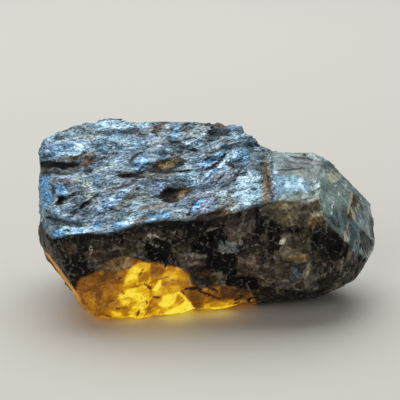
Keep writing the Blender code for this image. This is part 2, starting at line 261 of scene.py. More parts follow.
@dataclass(frozen=True)
class Patch:
    """One oval or block of colour on the front: its middle in pixels, its half sizes in millimetres."""

    name: str
    centre: tuple[float, float]
    half: tuple[float, float]
    turn: float
    tone: Tone
    amount: float = 0.85
    soft: float = 0.06
    depth: float = 0.0
    boxy: bool = False


@dataclass(frozen=True)
class Line:
    """One crack, seam or ridge through a few pixels of the picture, as wide as its millimetres say."""

    name: str
    places: Places
    width: float
    tone: Tone
    depth: float = 0.0


@dataclass(frozen=True)
class Pane:
    """One flat pane with straight edges between pixels of the picture, pressed in by its depth."""

    name: str
    corners: Places
    tone: Tone
    amount: float = 0.9
    soft: float = 0.12
    depth: float = 0.0


@dataclass(frozen=True)
class LitPane:
    """One part of the lit foot between pixels of the picture, and how brightly it is lit."""

    name: str
    corners: Places
    light: float
    soft: float = 0.12


@dataclass(frozen=True)
class LitLine:
    """One thin crack or bright edge of the lit foot, through pixels of the picture."""

    name: str
    places: Places
    width: float
    light: float


# Panes of the broken top. The blue, white, silver and lilac panes are painted sheen, the reflection of a
# bluish sky laid into the colour; the panes named shine are painted highlights.
TOP_PANES = (
    Pane("left field", ((44, 150), (46, 140), (60, 136), (75, 137), (90, 140), (98, 150), (80, 156),
        (50, 158)), Tone.PALE_BLUE, 0.7, 0.4),
    Pane("left flake", ((44, 150), (46, 144), (56, 144), (70, 142), (82, 141), (90, 144), (89, 149),
        (82, 154), (70, 156), (58, 157), (48, 157)), Tone.SHEEN, 0.8, 0.12, -0.12),
    Pane("left flake shine", ((72, 146), (78, 143), (90, 144), (89, 148), (80, 152), (73, 151)),
        Tone.WHITE_BLUE, 0.8, 0.15),
    Pane("left flake shine left", ((50, 151), (56, 149), (66, 150), (62, 155), (52, 155)), Tone.PALE_BLUE,
        0.8, 0.2),
    Pane("left lilac", ((44, 144), (47, 140), (52, 141), (56, 145), (52, 149), (45, 149)), Tone.LILAC,
        0.8, 0.2),
    Pane("left specks", ((52, 139), (55, 135.5), (58, 138), (65, 138.5), (58, 140.5)), Tone.SLATE, 0.9,
        0.1, 0.1),
    Pane("left corner", ((50.5, 137), (53, 132.5), (56.5, 133), (55, 136.5), (52, 138)), Tone.WHITE_BLUE,
        0.8, 0.1),
    Pane("dark edge over the corner", ((58, 131), (66, 127.5), (72, 130), (66, 132), (60, 133)),
        Tone.SLATE, 0.7, 0.15),
    Pane("dark corner", ((42, 152), (49, 152), (51, 155), (47, 158), (42, 158)), Tone.SLATE, 0.8, 0.12,
        0.05),
    Pane("rift lip", ((56, 160), (64, 157.5), (72, 156), (84, 152.5), (95, 152.5), (97, 158), (84, 161),
        (66, 161)), Tone.TAUPE, 0.85, 0.15),
    Pane("rift", ((40, 161), (50, 160), (62, 161), (72, 162), (79, 163), (80.5, 165.5), (72, 168),
        (60, 168.5), (50, 168), (40, 168)), Tone.EARTH, 1.0, 0.1, 0.3),
    Pane("rift end", ((79, 162), (94, 159.5), (95.5, 164), (87, 165.5), (80, 166)), Tone.RUST, 0.9, 0.15,
        0.1),
    Pane("under the rift", ((40, 168.5), (60, 169.5), (78, 168.5), (76, 172), (62, 174.5), (50, 174),
        (40, 173)), Tone.TAUPE, 0.8, 0.2),
    Pane("left blue", ((40, 178), (45, 175), (50, 177), (51.5, 186), (53, 195), (54, 200), (49, 206),
        (44, 213), (39, 204)), Tone.SHEEN, 0.95, 0.15),
    Pane("left blue bright", ((41, 180), (48, 179), (51, 190), (52, 200), (46, 207), (42, 200)),
        Tone.BRIGHT, 0.6, 0.3),
    Pane("blue block", ((56, 187), (58, 182), (62, 184), (70, 190), (68, 193), (61, 196), (57, 193)),
        Tone.BRIGHT, 0.95, 0.08, -0.12),
    Pane("brown gap", ((52.5, 186), (55, 188), (55.5, 193), (53, 197), (51, 193)), Tone.EARTH, 0.9, 0.1,
        0.2),
    Pane("hole", ((55, 203), (59, 200), (58, 196.5), (66, 196.5), (68.5, 199.5), (62, 201), (64, 204),
        (60, 206), (53, 205)), Tone.INK, 1.0, 0.08, 0.35),
    Pane("hole wing", ((66, 197), (71, 193), (78, 191), (75, 197), (70, 199)), Tone.SLATE, 0.95, 0.1,
        0.15),
    Pane("hole right", ((79, 207), (84, 203), (89, 200), (90.5, 201), (86, 206), (83, 209.5), (79, 209.5)
        ), Tone.INK, 1.0, 0.08, 0.3),
    Pane("cream fall", ((72, 177), (78, 175), (82, 181), (88, 180), (93, 184), (92, 190), (86, 190),
        (83, 186), (80, 182), (74, 180)), Tone.CREAM, 0.9, 0.15),
    Pane("cream rise", ((84, 193), (90, 190), (95, 191), (98, 190), (92, 198), (88, 200), (85, 196)),
        Tone.CREAM, 0.85),
    Pane("cyan streaks", ((43, 212), (48, 206), (56, 208), (63, 213), (58, 218), (48, 217)),
        Tone.PALE_BLUE, 0.85, 0.2),
    Pane("dark field by the rim", ((50, 219), (60, 220), (70, 221), (80, 221), (83, 226), (72, 226),
        (62, 227), (54, 232), (51, 226)), Tone.TEAL_DARK, 0.85, 0.2, 0.08),
    Pane("rim blue left", ((52, 238), (55, 231), (60, 228), (66, 229), (74, 227), (84, 228), (91, 230),
        (80, 235), (68, 238), (58, 240)), Tone.BRIGHT, 0.97, 0.1),
    Pane("rim cream", ((82, 222), (88, 219.5), (91, 224), (88, 229), (84, 228)), Tone.CREAM, 0.8, 0.15),
    Pane("rim blue middle", ((91, 224), (96, 219.5), (102, 220.5), (106, 225), (99, 228.5), (92, 230)),
        Tone.SHEEN),
    Pane("rim blue middle right", ((110, 228), (116, 222), (124, 221), (132, 223), (128, 227),
        (118, 229.5)), Tone.BRIGHT, 0.85),
    Pane("pale field", ((96, 138), (110, 132), (130, 136), (150, 140), (146, 148), (124, 150), (104, 148)
        ), Tone.PALE_BLUE, 0.7, 0.35),
    Pane("bright rim", ((96, 122), (118, 120), (140, 120.5), (152, 124), (148, 127.5), (134, 128),
        (118, 128), (98, 126)), Tone.WHITE_BLUE, 0.85, 0.2),
    Pane("dark blot", ((122, 130), (130, 128), (138, 127), (142, 131), (139, 134), (130, 134.5),
        (124, 136)), Tone.SLATE, 0.75, 0.2, 0.12),
    Pane("small dark blot", ((101, 134), (104, 131.5), (111, 133), (112, 135.5), (105, 135.5)),
        Tone.SLATE, 0.9, 0.1, 0.08),
    Pane("rim stain", ((151, 132), (156, 126), (163, 120.5), (168, 121.5), (163, 128), (158, 134),
        (154, 134)), Tone.DUST, 0.95, 0.1, 0.08),
    Pane("rim stain light", ((163, 134), (166, 126), (170, 124), (170, 132), (166, 138)), Tone.SILVER,
        0.7, 0.2),
    Pane("round flake", ((172, 132), (173, 128), (178, 126.5), (182, 129), (182, 134), (178, 139.5),
        (173, 138.5)), Tone.SHEEN, 0.8, 0.12, -0.12),
    Pane("pale rim right", ((188, 136), (194, 128), (206, 127), (208, 132), (203, 137), (194, 138)),
        Tone.SILVER, 0.7, 0.2),
    Pane("streaked field", ((168, 142), (182, 140), (200, 146), (206, 152), (196, 156), (176, 152)),
        Tone.TEAL_DARK, 0.6, 0.3),
    Pane("pale streaks", ((184, 141), (194, 140), (207, 141), (208, 148), (200, 150), (192, 145)),
        Tone.PALE_BLUE, 0.8, 0.15),
    Pane("dark knot", ((173, 152), (177, 149.5), (184, 151), (183, 154), (177, 154)), Tone.EARTH, 0.9,
        0.1, 0.15),
    Pane("lens", ((131, 169), (134, 164), (137, 158), (142, 154), (147, 156), (149, 160), (147, 163.5),
        (142, 167), (137, 170)), Tone.SHEEN, 1.0, 0.06, -0.15),
    Pane("lens shine", ((141, 157), (144, 155), (148, 158), (148, 162), (143, 165), (141, 162)),
        Tone.BRIGHT, 1.0, 0.1),
    Pane("lens tail", ((131, 169), (133, 166), (136, 166), (137, 169), (133, 170)), Tone.WHITE_BLUE, 0.8,
        0.1),
    Pane("gold hollow rim", ((149, 170), (152, 165), (156, 162), (163, 160), (169, 157), (174, 154),
        (181, 157), (187, 160), (184, 166), (173, 169.5), (160, 171)), Tone.UMBER, 0.95, 0.1, 0.35),
    Pane("gold hollow", ((157, 164), (164, 162), (170, 160), (176, 157.5), (179, 161), (173, 166),
        (166, 169.5), (162, 169.5), (159, 167)), Tone.HONEY, 1.0, 0.15),
    Pane("gold hollow light", ((160, 167), (168, 163), (174, 160), (172, 164), (165, 169), (162, 169)),
        Tone.GOLD, 0.8, 0.15),
    Pane("gold hollow shade", ((152, 171), (156, 168.5), (161, 168), (164, 171), (156, 172)), Tone.EARTH,
        0.9, 0.1, 0.1),
    Pane("under the seam", ((138, 173), (150, 171.5), (165, 173), (176, 174), (166, 178), (150, 178.5),
        (142, 176)), Tone.TAUPE, 0.75, 0.15),
    Pane("left of the seam", ((119, 174), (126, 169), (132, 172), (136, 178), (126, 179), (119, 178)),
        Tone.TAUPE, 0.8, 0.15),
    Pane("silver scale", ((150, 188), (156, 183), (166, 183), (168.5, 187), (162, 192), (156, 196),
        (150, 195)), Tone.LILAC, 0.95, 0.08, -0.12),
    Pane("white scale", ((177, 175), (188, 172), (197, 173), (199.5, 178), (196, 184), (190, 183),
        (184, 178)), Tone.WHITE_BLUE, 0.85, 0.12, -0.08),
    Pane("almond", ((156, 197), (162, 193), (169, 188), (177, 187.5), (184, 187), (191, 187), (193, 190),
        (189, 194), (183, 199), (177, 202.5), (168, 203), (163, 201)), Tone.UMBER, 1.0, 0.08, 0.45),
    Pane("almond dark", ((157, 197), (163, 193), (170, 188), (179, 189), (174, 196), (169, 201.5),
        (164, 201)), Tone.EARTH, 1.0, 0.1, 0.1),
    Pane("almond gold", ((177, 196), (181, 190), (191, 188), (192, 190), (185, 197), (179, 201)),
        Tone.HONEY, 0.9, 0.15),
    Pane("brown streak", ((139, 208), (152, 203), (165, 203), (171, 207), (160, 209.5), (148, 210),
        (140, 210.5)), Tone.TAUPE, 0.9, 0.15),
    Pane("cyan flake", ((123, 223), (130, 216), (138, 211.5), (147, 211), (141, 215), (135, 220),
        (129, 224.5)), Tone.WHITE_BLUE, 0.95, 0.08),
    Pane("taupe by the rim", ((134, 222), (140, 217), (147, 214), (149, 219), (142, 224), (136, 225)),
        Tone.TAUPE, 0.8),
    Pane("rim teal", ((148, 217), (156, 214), (162, 217), (159, 222), (151, 224), (146, 221)), Tone.SHEEN,
        0.8),
    Pane("rim blue right", ((159.5, 215), (164, 210.5), (168, 212.5), (171, 216.5), (165, 218.5),
        (160, 218)), Tone.BRIGHT, 0.9, 0.1),
    Pane("pale by the rim", ((171, 215), (176, 209), (184, 212), (190, 214), (189, 219), (180, 219.5),
        (172, 217.5)), Tone.SILVER, 0.85, 0.15),
    Pane("middle blue", ((100, 209), (102, 200), (110, 196), (116, 191.5), (128, 188), (131, 191.5),
        (125, 197), (118, 202), (112, 208)), Tone.SHEEN, 0.92, 0.12, -0.12),
    Pane("middle blue shine", ((111, 197), (116, 191.5), (128, 188), (130, 191), (120, 195)),
        Tone.WHITE_BLUE, 0.6, 0.2),
    Pane("dark patch", ((204.5, 138), (208, 132), (210, 126.5), (217, 124.5), (226, 126.5), (230, 130),
        (233, 136), (226, 136.5), (220, 136.5), (219, 140.5), (211, 140.5), (208, 142)), Tone.SLATE, 1.0,
        0.06, 0.3),
    Pane("far blue", ((229, 127), (233, 125), (240, 129), (244, 134), (238, 137.5), (233, 136), (231, 131)
        ), Tone.PALE_BLUE, 0.95, 0.1),
    Pane("far white", ((240, 136.5), (243, 134.5), (250, 133), (249, 136), (243, 138)), Tone.WHITE_BLUE,
        0.9, 0.1),
    Pane("grey step", ((213, 142), (222, 140), (230, 139), (239, 138.5), (237, 142), (228, 143.5),
        (218, 145)), Tone.TAUPE, 0.7, 0.15),
    Pane("teal streak", ((221, 145), (230, 143.5), (240, 141.5), (248, 140), (258, 145), (265, 151),
        (257, 152), (250, 152.5), (246, 147.5), (238, 147), (230, 149.5), (222, 149)), Tone.TEAL_DARK,
        1.0, 0.1, 0.2),
    Pane("white chip", ((243.5, 141), (246, 138.5), (249, 140.5), (246, 142)), Tone.WHITE_BLUE, 0.9,
        0.08),
    Pane("white chip right", ((254.5, 149), (256.5, 147.5), (259.5, 149), (257, 150.5)), Tone.WHITE_BLUE,
        0.9, 0.08),
    Pane("blue lobe", ((202, 164), (206, 159), (214, 156), (216, 151), (224, 150.5), (226, 153),
        (222, 159), (217, 161.5), (211, 164.5), (206, 168)), Tone.BRIGHT, 0.97, 0.1, -0.12),
    Pane("cyan point", ((219, 164.5), (224, 159), (229, 154), (233, 157), (228, 162), (223, 165.5)),
        Tone.WHITE_BLUE, 0.95, 0.08),
    Pane("blue under the cleft", ((203, 175), (210, 170.5), (219, 166), (228, 165), (231, 168),
        (222, 171.5), (212, 176), (206, 181)), Tone.BRIGHT, 0.75),
    Pane("blue lobe right", ((231, 155), (234, 150), (240, 148.5), (249, 151), (251, 156), (248, 161.5),
        (243, 163.5), (238, 163), (234, 160)), Tone.SHEEN, 0.95, 0.12, -0.12),
    Pane("blue lobe right shine", ((232, 155), (235, 150.5), (241, 149.5), (240, 153), (236, 157)),
        Tone.WHITE_BLUE, 0.6, 0.15),
    Pane("cleft hole", ((208, 169), (211, 165), (215, 163), (218, 164), (214, 168), (210, 170)), Tone.INK,
        1.0, 0.08, 0.2),
    Pane("upper hole", ((203, 161), (206, 156.5), (212, 155.5), (209, 159), (205, 161.5)), Tone.INK, 0.95,
        0.08, 0.2),
    Pane("plum lobe", ((214, 181), (222, 174), (232, 171), (238, 170), (236, 175), (230, 182), (224, 187),
        (218, 185)), Tone.PLUM_GREY, 0.85, 0.15),
    Pane("lilac lobe", ((203, 182), (212, 176), (216, 180), (214, 188), (206, 194), (199, 192)),
        Tone.LILAC, 0.7, 0.25),
    Pane("white lobe", ((238, 178), (250, 172), (258, 172), (261, 180), (263, 190), (259, 200),
        (250, 204), (240, 204), (233, 198), (231, 190), (234, 184)), Tone.WHITE_BLUE, 0.75, 0.3),
    Pane("white band", ((212, 193), (230, 189), (233, 195), (225, 197.5), (213, 196)), Tone.SILVER, 0.85,
        0.15),
    Pane("lilac shard", ((191, 211), (193, 204), (198, 201), (206, 198.5), (211, 199), (215, 202),
        (208, 207), (202, 209.5), (197, 214), (192, 216)), Tone.LILAC, 0.95, 0.06, -0.1),
    Pane("lilac shard shine", ((191, 209.5), (195, 203.5), (202, 199), (207, 199.5), (200, 205),
        (194, 209.5)), Tone.BRIGHT, 0.95, 0.08),
    Pane("rust shelf", ((192, 221), (200, 214), (212, 212), (222, 205), (229, 203), (224, 210),
        (216, 217), (206, 226), (194, 226)), Tone.UMBER, 1.0),
    Pane("gold shelf", ((208, 228), (213, 220), (221, 213), (228, 209), (233, 206), (232, 214),
        (227, 222), (218, 229)), Tone.RUST, 1.0),
    Pane("gold shelf light", ((219, 222), (222, 216), (228, 212), (230, 214), (226, 220), (221, 224)),
        Tone.GOLD, 0.9, 0.15),
    Pane("cream shelf", ((230, 208), (236, 203), (241, 205), (236, 212), (232, 214)), Tone.CREAM, 0.85),
    Pane("white crest", ((238, 215), (241, 212), (247, 211.5), (246, 213.5), (241, 215.5)),
        Tone.WHITE_BLUE, 0.85, 0.1),
    Pane("junction stain", ((263, 204), (262, 176), (263, 160), (268, 158), (270, 170), (271, 190),
        (270, 206)), Tone.TAN, 0.8, 0.3),
    Pane("junction rust", ((268, 192), (267, 178), (270, 172), (272, 184), (272, 196)), Tone.RUST, 0.9,
        0.15, 0.12),
)

# The white-blue streaks, knot and splinters among these lines are painted sheen.
TOP_LINES = (
    Line("lens arc", ((130.5, 161), (133, 157.5), (137, 154.5), (142, 152.5)), 0.4, Tone.INK, 0.1),
    Line("lens foot", ((138, 170.5), (143, 167), (147, 164), (151, 163)), 0.3, Tone.INK, 0.1),
    Line("rift lip line", ((68, 155.5), (74, 157), (79, 156), (85, 153.5)), 0.35, Tone.EARTH, 0.1),
    Line("rift lip edge", ((60, 157.5), (70, 155.5), (78, 154.5)), 0.2, Tone.CREAM),
    Line("under rift line", ((41, 173.5), (52, 172.5), (64, 174), (73, 174.5)), 0.3, Tone.SLATE),
    Line("black dash", ((84, 172), (88, 171), (92, 170)), 0.45, Tone.INK, 0.1),
    Line("block line", ((59, 181), (62, 183.5), (66, 187)), 0.35, Tone.SLATE, 0.1),
    Line("corner crack", ((88, 201), (94, 197), (101, 191.5)), 0.25, Tone.SLATE, 0.1),
    Line("curl", ((70, 214), (73, 212), (77, 209)), 0.28, Tone.INK),
    Line("second curl", ((71, 217), (74, 214.5), (78, 212)), 0.28, Tone.INK),
    Line("third curl", ((46, 211), (52, 213), (58, 217)), 0.25, Tone.SLATE),
    Line("rim band", ((46, 217), (56, 219.5), (67, 221.5)), 0.4, Tone.INK, 0.1),
    Line("rim band right", ((70, 222), (76, 224.5), (82, 226)), 0.35, Tone.INK, 0.1),
    Line("rim splinter", ((63, 227.5), (68, 228), (73, 230)), 0.3, Tone.WHITE_BLUE),
    Line("second splinter", ((62, 230), (66, 232), (71, 235)), 0.28, Tone.WHITE_BLUE),
    Line("dark splinter", ((66, 229.5), (69, 231), (73, 232.5)), 0.28, Tone.INK),
    Line("short crack", ((110, 208.5), (114, 210.5), (119, 211)), 0.35, Tone.INK, 0.1),
    Line("spot", ((135, 188.5), (139, 188)), 0.5, Tone.INK, 0.1),
    Line("crack by the middle", ((112, 190), (122, 187), (133, 183), (138, 181)), 0.25, Tone.SLATE),
    Line("stain crack", ((151, 132), (155, 133), (158, 136)), 0.25, Tone.INK, 0.1),
    Line("seam", ((118, 175.5), (128, 176), (135, 175.5), (144, 177.5)), 0.55, Tone.EARTH, 0.2),
    Line("seam rise", ((136, 174), (142, 172), (147, 170)), 0.35, Tone.EARTH, 0.1),
    Line("seam right", ((146, 170.5), (156, 171.5), (166, 172), (178, 171.5), (196, 169.5)), 0.35,
        Tone.INK, 0.2),
    Line("under seam line", ((146, 178.5), (156, 179.5), (168, 180.5), (173, 184)), 0.25, Tone.SLATE),
    Line("almond edge", ((152, 197), (158, 195), (165, 190.5), (172, 187.5)), 0.3, Tone.INK, 0.1),
    Line("dark streak", ((170, 141.5), (180, 142.5), (189, 146), (197, 150)), 0.28, Tone.INK, 0.05),
    Line("second dark streak", ((172, 145), (182, 147), (190, 150), (198, 152)), 0.25, Tone.INK, 0.05),
    Line("third dark streak", ((184, 139.5), (194, 138.5), (201, 140.5), (206, 144)), 0.25, Tone.SLATE),
    Line("white streak", ((182, 142), (190, 145.5), (199, 148.5)), 0.22, Tone.WHITE_BLUE),
    Line("second white streak", ((186, 142.5), (194, 143.5), (203, 145)), 0.22, Tone.WHITE_BLUE),
    Line("white knot", ((166, 149), (170, 148), (174, 148.5)), 0.45, Tone.WHITE_BLUE),
    Line("lobe cleft", ((205, 170), (210, 167), (217, 163), (221, 159.5), (226, 153.5)), 0.35, Tone.INK,
        0.2),
    Line("cross cleft", ((225, 164), (230, 164.5), (233, 167.5), (237, 167.5)), 0.45, Tone.INK, 0.2),
    Line("cross cleft right", ((236, 165), (241, 166.5), (246, 170)), 0.3, Tone.SLATE, 0.1),
    Line("second cleft", ((204, 181), (208, 177), (212, 173)), 0.35, Tone.SLATE, 0.1),
    Line("plum cleft", ((222, 187), (228, 183), (233, 178), (239, 171)), 0.5, Tone.INK, 0.2),
    Line("plum splinter", ((218, 180), (221, 177.5), (224, 174.5)), 0.3, Tone.INK, 0.1),
    Line("right crack", ((235, 163), (239, 160.5), (243, 158)), 0.25, Tone.SLATE),
    Line("shard edge", ((189.5, 214), (191, 208), (194, 203), (199, 200)), 0.25, Tone.INK, 0.1),
    Line("shard crack", ((196, 210), (203, 206), (211, 201)), 0.22, Tone.SLATE),
    Line("white lobe speck", ((252.5, 189), (257, 188.5)), 0.35, Tone.SLATE),
)

FRONT_PATCHES = (
    Patch("red shade", (70, 248), (1.9, 1.0), 0, Tone.UMBER, 0.8, 0.2),
    Patch("left mottle", (47, 243), (1.4, 2.4), -20, Tone.MIST, 0.75, 0.3),
    Patch("smoke left", (95, 256), (1.5, 0.8), 8, Tone.DUST, 0.95, 0.1, 0.0, True),
    Patch("smoke low", (95, 265), (1.1, 0.6), 0, Tone.ASH, 0.6, 0.1, 0.0, True),
    Patch("olive left", (97, 244), (1.2, 0.6), 0, Tone.OLIVE, 0.6, 0.2),
    Patch("olive middle", (129, 250), (1.0, 1.1), 0, Tone.OLIVE, 0.4, 0.15, 0.0, True),
    Patch("mauve middle", (140, 254), (0.9, 0.6), 0, Tone.ASH, 0.7, 0.15),
    Patch("black block", (162, 253), (1.9, 1.9), 2, Tone.INK, 1.0, 0.04, 0.4, True),
    Patch("slanted block", (212, 239), (2.6, 1.25), 24, Tone.INK, 1.0, 0.05, 0.35, True),
    Patch("olive right", (183, 250), (1.1, 1.0), 0, Tone.OLIVE, 0.65, 0.1, 0.0, True),
    Patch("mauve shelf", (196, 260), (2.2, 0.8), 0, Tone.DUST, 0.8, 0.1, 0.0, True),
    Patch("mauve shine", (196, 256), (1.6, 0.25), -4, Tone.PALE, 0.6, 0.2),
    Patch("grey pane", (228, 247), (1.3, 0.85), -8, Tone.PALE_STEEL, 0.7, 0.05, 0.0, True),
    Patch("teal glint", (236, 249), (0.4, 0.6), 0, Tone.TEAL_GLASS, 0.9),
    Patch("grey column", (233, 231), (1.0, 1.7), 6, Tone.MIST, 0.95, 0.1, 0.0, True),
    Patch("plum shelf", (254, 219), (1.6, 1.3), 30, Tone.PLUM, 0.9, 0.1),
    Patch("black pane", (259, 220), (0.6, 1.8), 0, Tone.INK, 0.9, 0.06, 0.1, True),
    Patch("grey lump", (269, 214), (0.8, 1.3), 0, Tone.ASH, 0.9, 0.1, -0.2),
    Patch("tall slot", (275, 235), (0.8, 2.2), 0, Tone.INK, 1.0, 0.06, 0.45, True),
    Patch("brown lumps", (297, 210), (3.8, 2.4), 0, Tone.LUMP, 0.8, 0.1),
    Patch("gold lump", (286, 203), (1.5, 0.9), 0, Tone.GOLD, 0.4, 0.2, -0.15),
    Patch("pink lump", (303, 199), (1.5, 0.9), 10, Tone.ASH, 0.8, 0.15, -0.15),
    Patch("low lump", (289, 217), (1.2, 0.8), 0, Tone.GOLD, 0.35, 0.15, -0.2),
    Patch("round lump", (315, 218), (1.1, 1.0), 0, Tone.TAN, 0.7, 0.08, -0.35),
    Patch("round lump light", (314, 214), (0.7, 0.45), 0, Tone.BEIGE, 0.5, 0.3),
    Patch("lump gap", (302, 220), (0.7, 0.8), 0, Tone.OLIVE, 0.9, 0.15, 0.2),
    Patch("lump shade", (301, 229), (2.2, 0.5), 4, Tone.SMOKE, 0.8, 0.2, 0.1),
    Patch("clear smoke", (292, 245), (1.5, 1.7), 0, Tone.LUMP, 0.8, 0.15, 0.0, True),
    Patch("olive column", (306, 240), (0.6, 1.6), 0, Tone.OLIVE, 0.9, 0.15),
    Patch("cream specks", (285, 240), (0.9, 0.35), 34, Tone.PALE, 0.75, 0.2),
    Patch("dark band", (330, 245), (2.9, 2.0), -20, Tone.INK, 0.97, 0.08, 0.15),
    Patch("olive panes", (249, 264), (1.7, 1.6), 0, Tone.DUST, 0.95, 0.08, 0.0, True),
    Patch("black panes", (222, 264), (2.3, 1.6), -2, Tone.INK, 1.0, 0.04, 0.25, True),
    Patch("olive pane", (217, 278), (0.95, 0.9), 10, Tone.OLIVE, 1.0, 0.04, 0.0, True),
    Patch("grey chip", (226, 283), (0.65, 0.4), 0, Tone.PALE, 0.6, 0.06, 0.0, True),
    Patch("lower black", (243, 282), (2.4, 0.85), -6, Tone.INK, 1.0, 0.06, 0.15, True),
    Patch("red brown", (203, 273), (1.3, 0.6), 0, Tone.UMBER, 0.9, 0.1, 0.0, True),
    Patch("rust field", (270, 275), (2.0, 1.4), 0, Tone.DUST, 0.6, 0.3),
    Patch("gold pane", (300, 258), (1.4, 0.55), 4, Tone.TAN, 0.8, 0.08, 0.0, True),
    Patch("steel pane", (298, 271), (0.95, 1.0), 0, Tone.STEEL, 0.45, 0.1, 0.1, True),
    Patch("under facet", (311, 286), (0.9, 0.9), 20, Tone.ASH, 0.8, 0.1, 0.0, True),
)

FRONT_PANES = (
    Pane("tan lobe on the front", ((102, 270), (104, 262), (116, 258), (121, 256), (130, 257), (140, 261),
        (131, 266), (124, 269), (117, 273), (105, 273)), Tone.TAN),
    Pane("tan lobe shade", ((113, 260), (119, 258), (121, 266), (116, 268)), Tone.DUST, 0.6, 0.1),
)

# The pale and ash lines on the dark front are painted highlights, where the edges of cracks catch the light.
FRONT_LINES = (
    Line("glint line", ((147, 236), (155, 235.5), (158, 238), (170, 240)), 0.2, Tone.PALE),
    Line("falling scratch", ((149, 241), (152, 245), (158, 246), (163, 248)), 0.16, Tone.PALE),
    Line("column scratch", ((101, 237), (102.5, 242), (102.5, 248)), 0.16, Tone.ASH),
    Line("dashed column", ((91, 250), (90, 256), (89, 262)), 0.18, Tone.PALE),
    Line("blob scratch", ((116, 238), (120, 240)), 0.24, Tone.ASH),
    Line("curved scratch", ((110, 244), (116, 247.5), (126, 249)), 0.14, Tone.ASH),
    Line("streak on the shelf", ((186, 259), (190, 257.5), (198, 256)), 0.2, Tone.PALE),
    Line("speck on the shelf", ((187, 264), (189, 266)), 0.24, Tone.ASH),
    Line("over the block", ((170, 234), (174, 231), (178, 227)), 0.24, Tone.ASH),
    Line("low chip", ((97, 262), (99, 267)), 0.36, Tone.ASH),
    Line("column edge", ((240, 220), (241, 232), (239, 243)), 0.16, Tone.ASH),
    Line("right edge of the pane", ((238, 254), (239, 264), (238, 273)), 0.16, Tone.LUMP),
    Line("slope scratch", ((205, 232), (212, 229), (220, 228)), 0.14, Tone.ASH),
    Line("block edge", ((173, 245), (174, 255), (171, 264)), 0.16, Tone.DUST),
    Line("pale rib", ((310, 257), (308, 270), (305, 285)), 0.4, Tone.LUMP, -0.2),
    Line("slot edge", ((265, 219), (266, 232), (268, 244)), 0.2, Tone.MIST),
    Line("band edge", ((325, 215), (340, 227), (350, 242), (355, 256)), 0.3, Tone.INK, 0.15),
    Line("under scratch", ((276, 287), (290, 289), (303, 290)), 0.16, Tone.ASH),
)

END_PANES = (
    Pane("purple roof", ((285, 157), (307.5, 157.5), (320, 162.5), (322.5, 169), (307.5, 170), (289, 169),
        (284, 161)), Tone.PLUM_ROOF, 0.9, 0.3),
    Pane("roof right", ((304, 166), (322, 167), (319, 181), (315, 190), (304, 190), (302, 178)),
        Tone.PALE_STEEL, 0.7, 0.4),
    Pane("white rim", ((302.5, 155), (304, 152.5), (325, 157.5), (329, 162.5), (322, 161)),
        Tone.PALE_STEEL, 0.85, 0.15, -0.1),
    Pane("white rim left", ((273, 152), (285, 151), (286, 157), (278, 160), (272, 158)), Tone.PALE_GLASS,
        0.7, 0.15),
    Pane("flake lilac", ((272.5, 170), (285, 175), (277, 183), (272, 183)), Tone.LILAC, 0.8, 0.2),
    Pane("flake", ((272.5, 176), (291, 174), (299, 177.5), (312, 184), (311, 191), (297.5, 192),
        (280, 196), (272.5, 190)), Tone.PALE_BLUE, 0.9, 0.12, -0.12),
    Pane("flake light", ((286, 182), (298, 180), (303, 186), (296, 190), (286, 189)), Tone.WHITE_BLUE,
        0.55, 0.3),
    Pane("green slope", ((322.5, 170), (330, 184), (341, 186), (345, 195), (344, 210), (335, 220),
        (326, 212.5), (311, 199), (318, 186)), Tone.GREEN_GLASS, 0.9, 0.15),
    Pane("beige face", ((334, 168), (342.5, 176), (341, 180), (331, 184), (327, 177.5)), Tone.BEIGE, 0.92,
        0.08, -0.08),
    Pane("upper right green", ((343, 178), (357, 194), (347, 206), (342, 198), (342, 184)),
        Tone.GREEN_GLASS, 0.9, 0.1),
    Pane("pale polygon", ((326, 191), (336, 189), (336, 197.5), (332.5, 204), (326, 202.5)),
        Tone.PALE_GLASS, 0.85, 0.06),
    Pane("moss spot", ((312, 203), (318, 203), (324, 208), (320, 212), (313, 208)), Tone.MOSS, 0.85,
        0.15),
    Pane("teal face", ((329, 212.5), (345, 205), (350, 207.5), (345, 222.5), (339, 226), (330, 220)),
        Tone.TEAL_GLASS, 0.92, 0.1),
    Pane("lower teal face", ((340, 226), (350, 215), (350, 232.5), (345, 240), (340, 232.5)),
        Tone.TEAL_GLASS, 0.92, 0.1),
    Pane("teal shine", ((339, 228), (344, 226), (343, 236), (339, 234)), Tone.PALE_GLASS, 0.5, 0.2),
    Pane("glint", ((345, 237), (349, 235), (350, 240), (346, 242)), Tone.WHITE_GLASS, 0.95, 0.1),
    Pane("rib", ((351, 192.5), (360, 195), (357.5, 205), (351, 215), (349, 225), (346, 215), (350, 205)),
        Tone.RIB, 0.95, 0.15, -0.15),
    Pane("blue face", ((350, 220), (360, 225), (362.5, 231), (360, 245), (357.5, 257.5), (352.5, 252.5),
        (350, 242.5)), Tone.STEEL, 0.95, 0.08),
    Pane("pale steel face", ((362.5, 200), (371, 207.5), (370, 225), (362.5, 226), (357.5, 217.5),
        (356, 207.5)), Tone.PALE_STEEL, 0.95, 0.08),
    Pane("grey edge", ((370, 204), (374, 215), (375, 240), (371, 236), (371, 215)), Tone.LUMP, 0.8, 0.1),
    Pane("dark wedge", ((362.5, 231), (374, 244), (369, 252.5), (360, 249)), Tone.DIM_GLASS, 0.95, 0.08),
    Pane("low pale face", ((369, 252.5), (374, 245), (372.5, 254), (366, 260)), Tone.PALE_STEEL, 0.9,
        0.1),
)
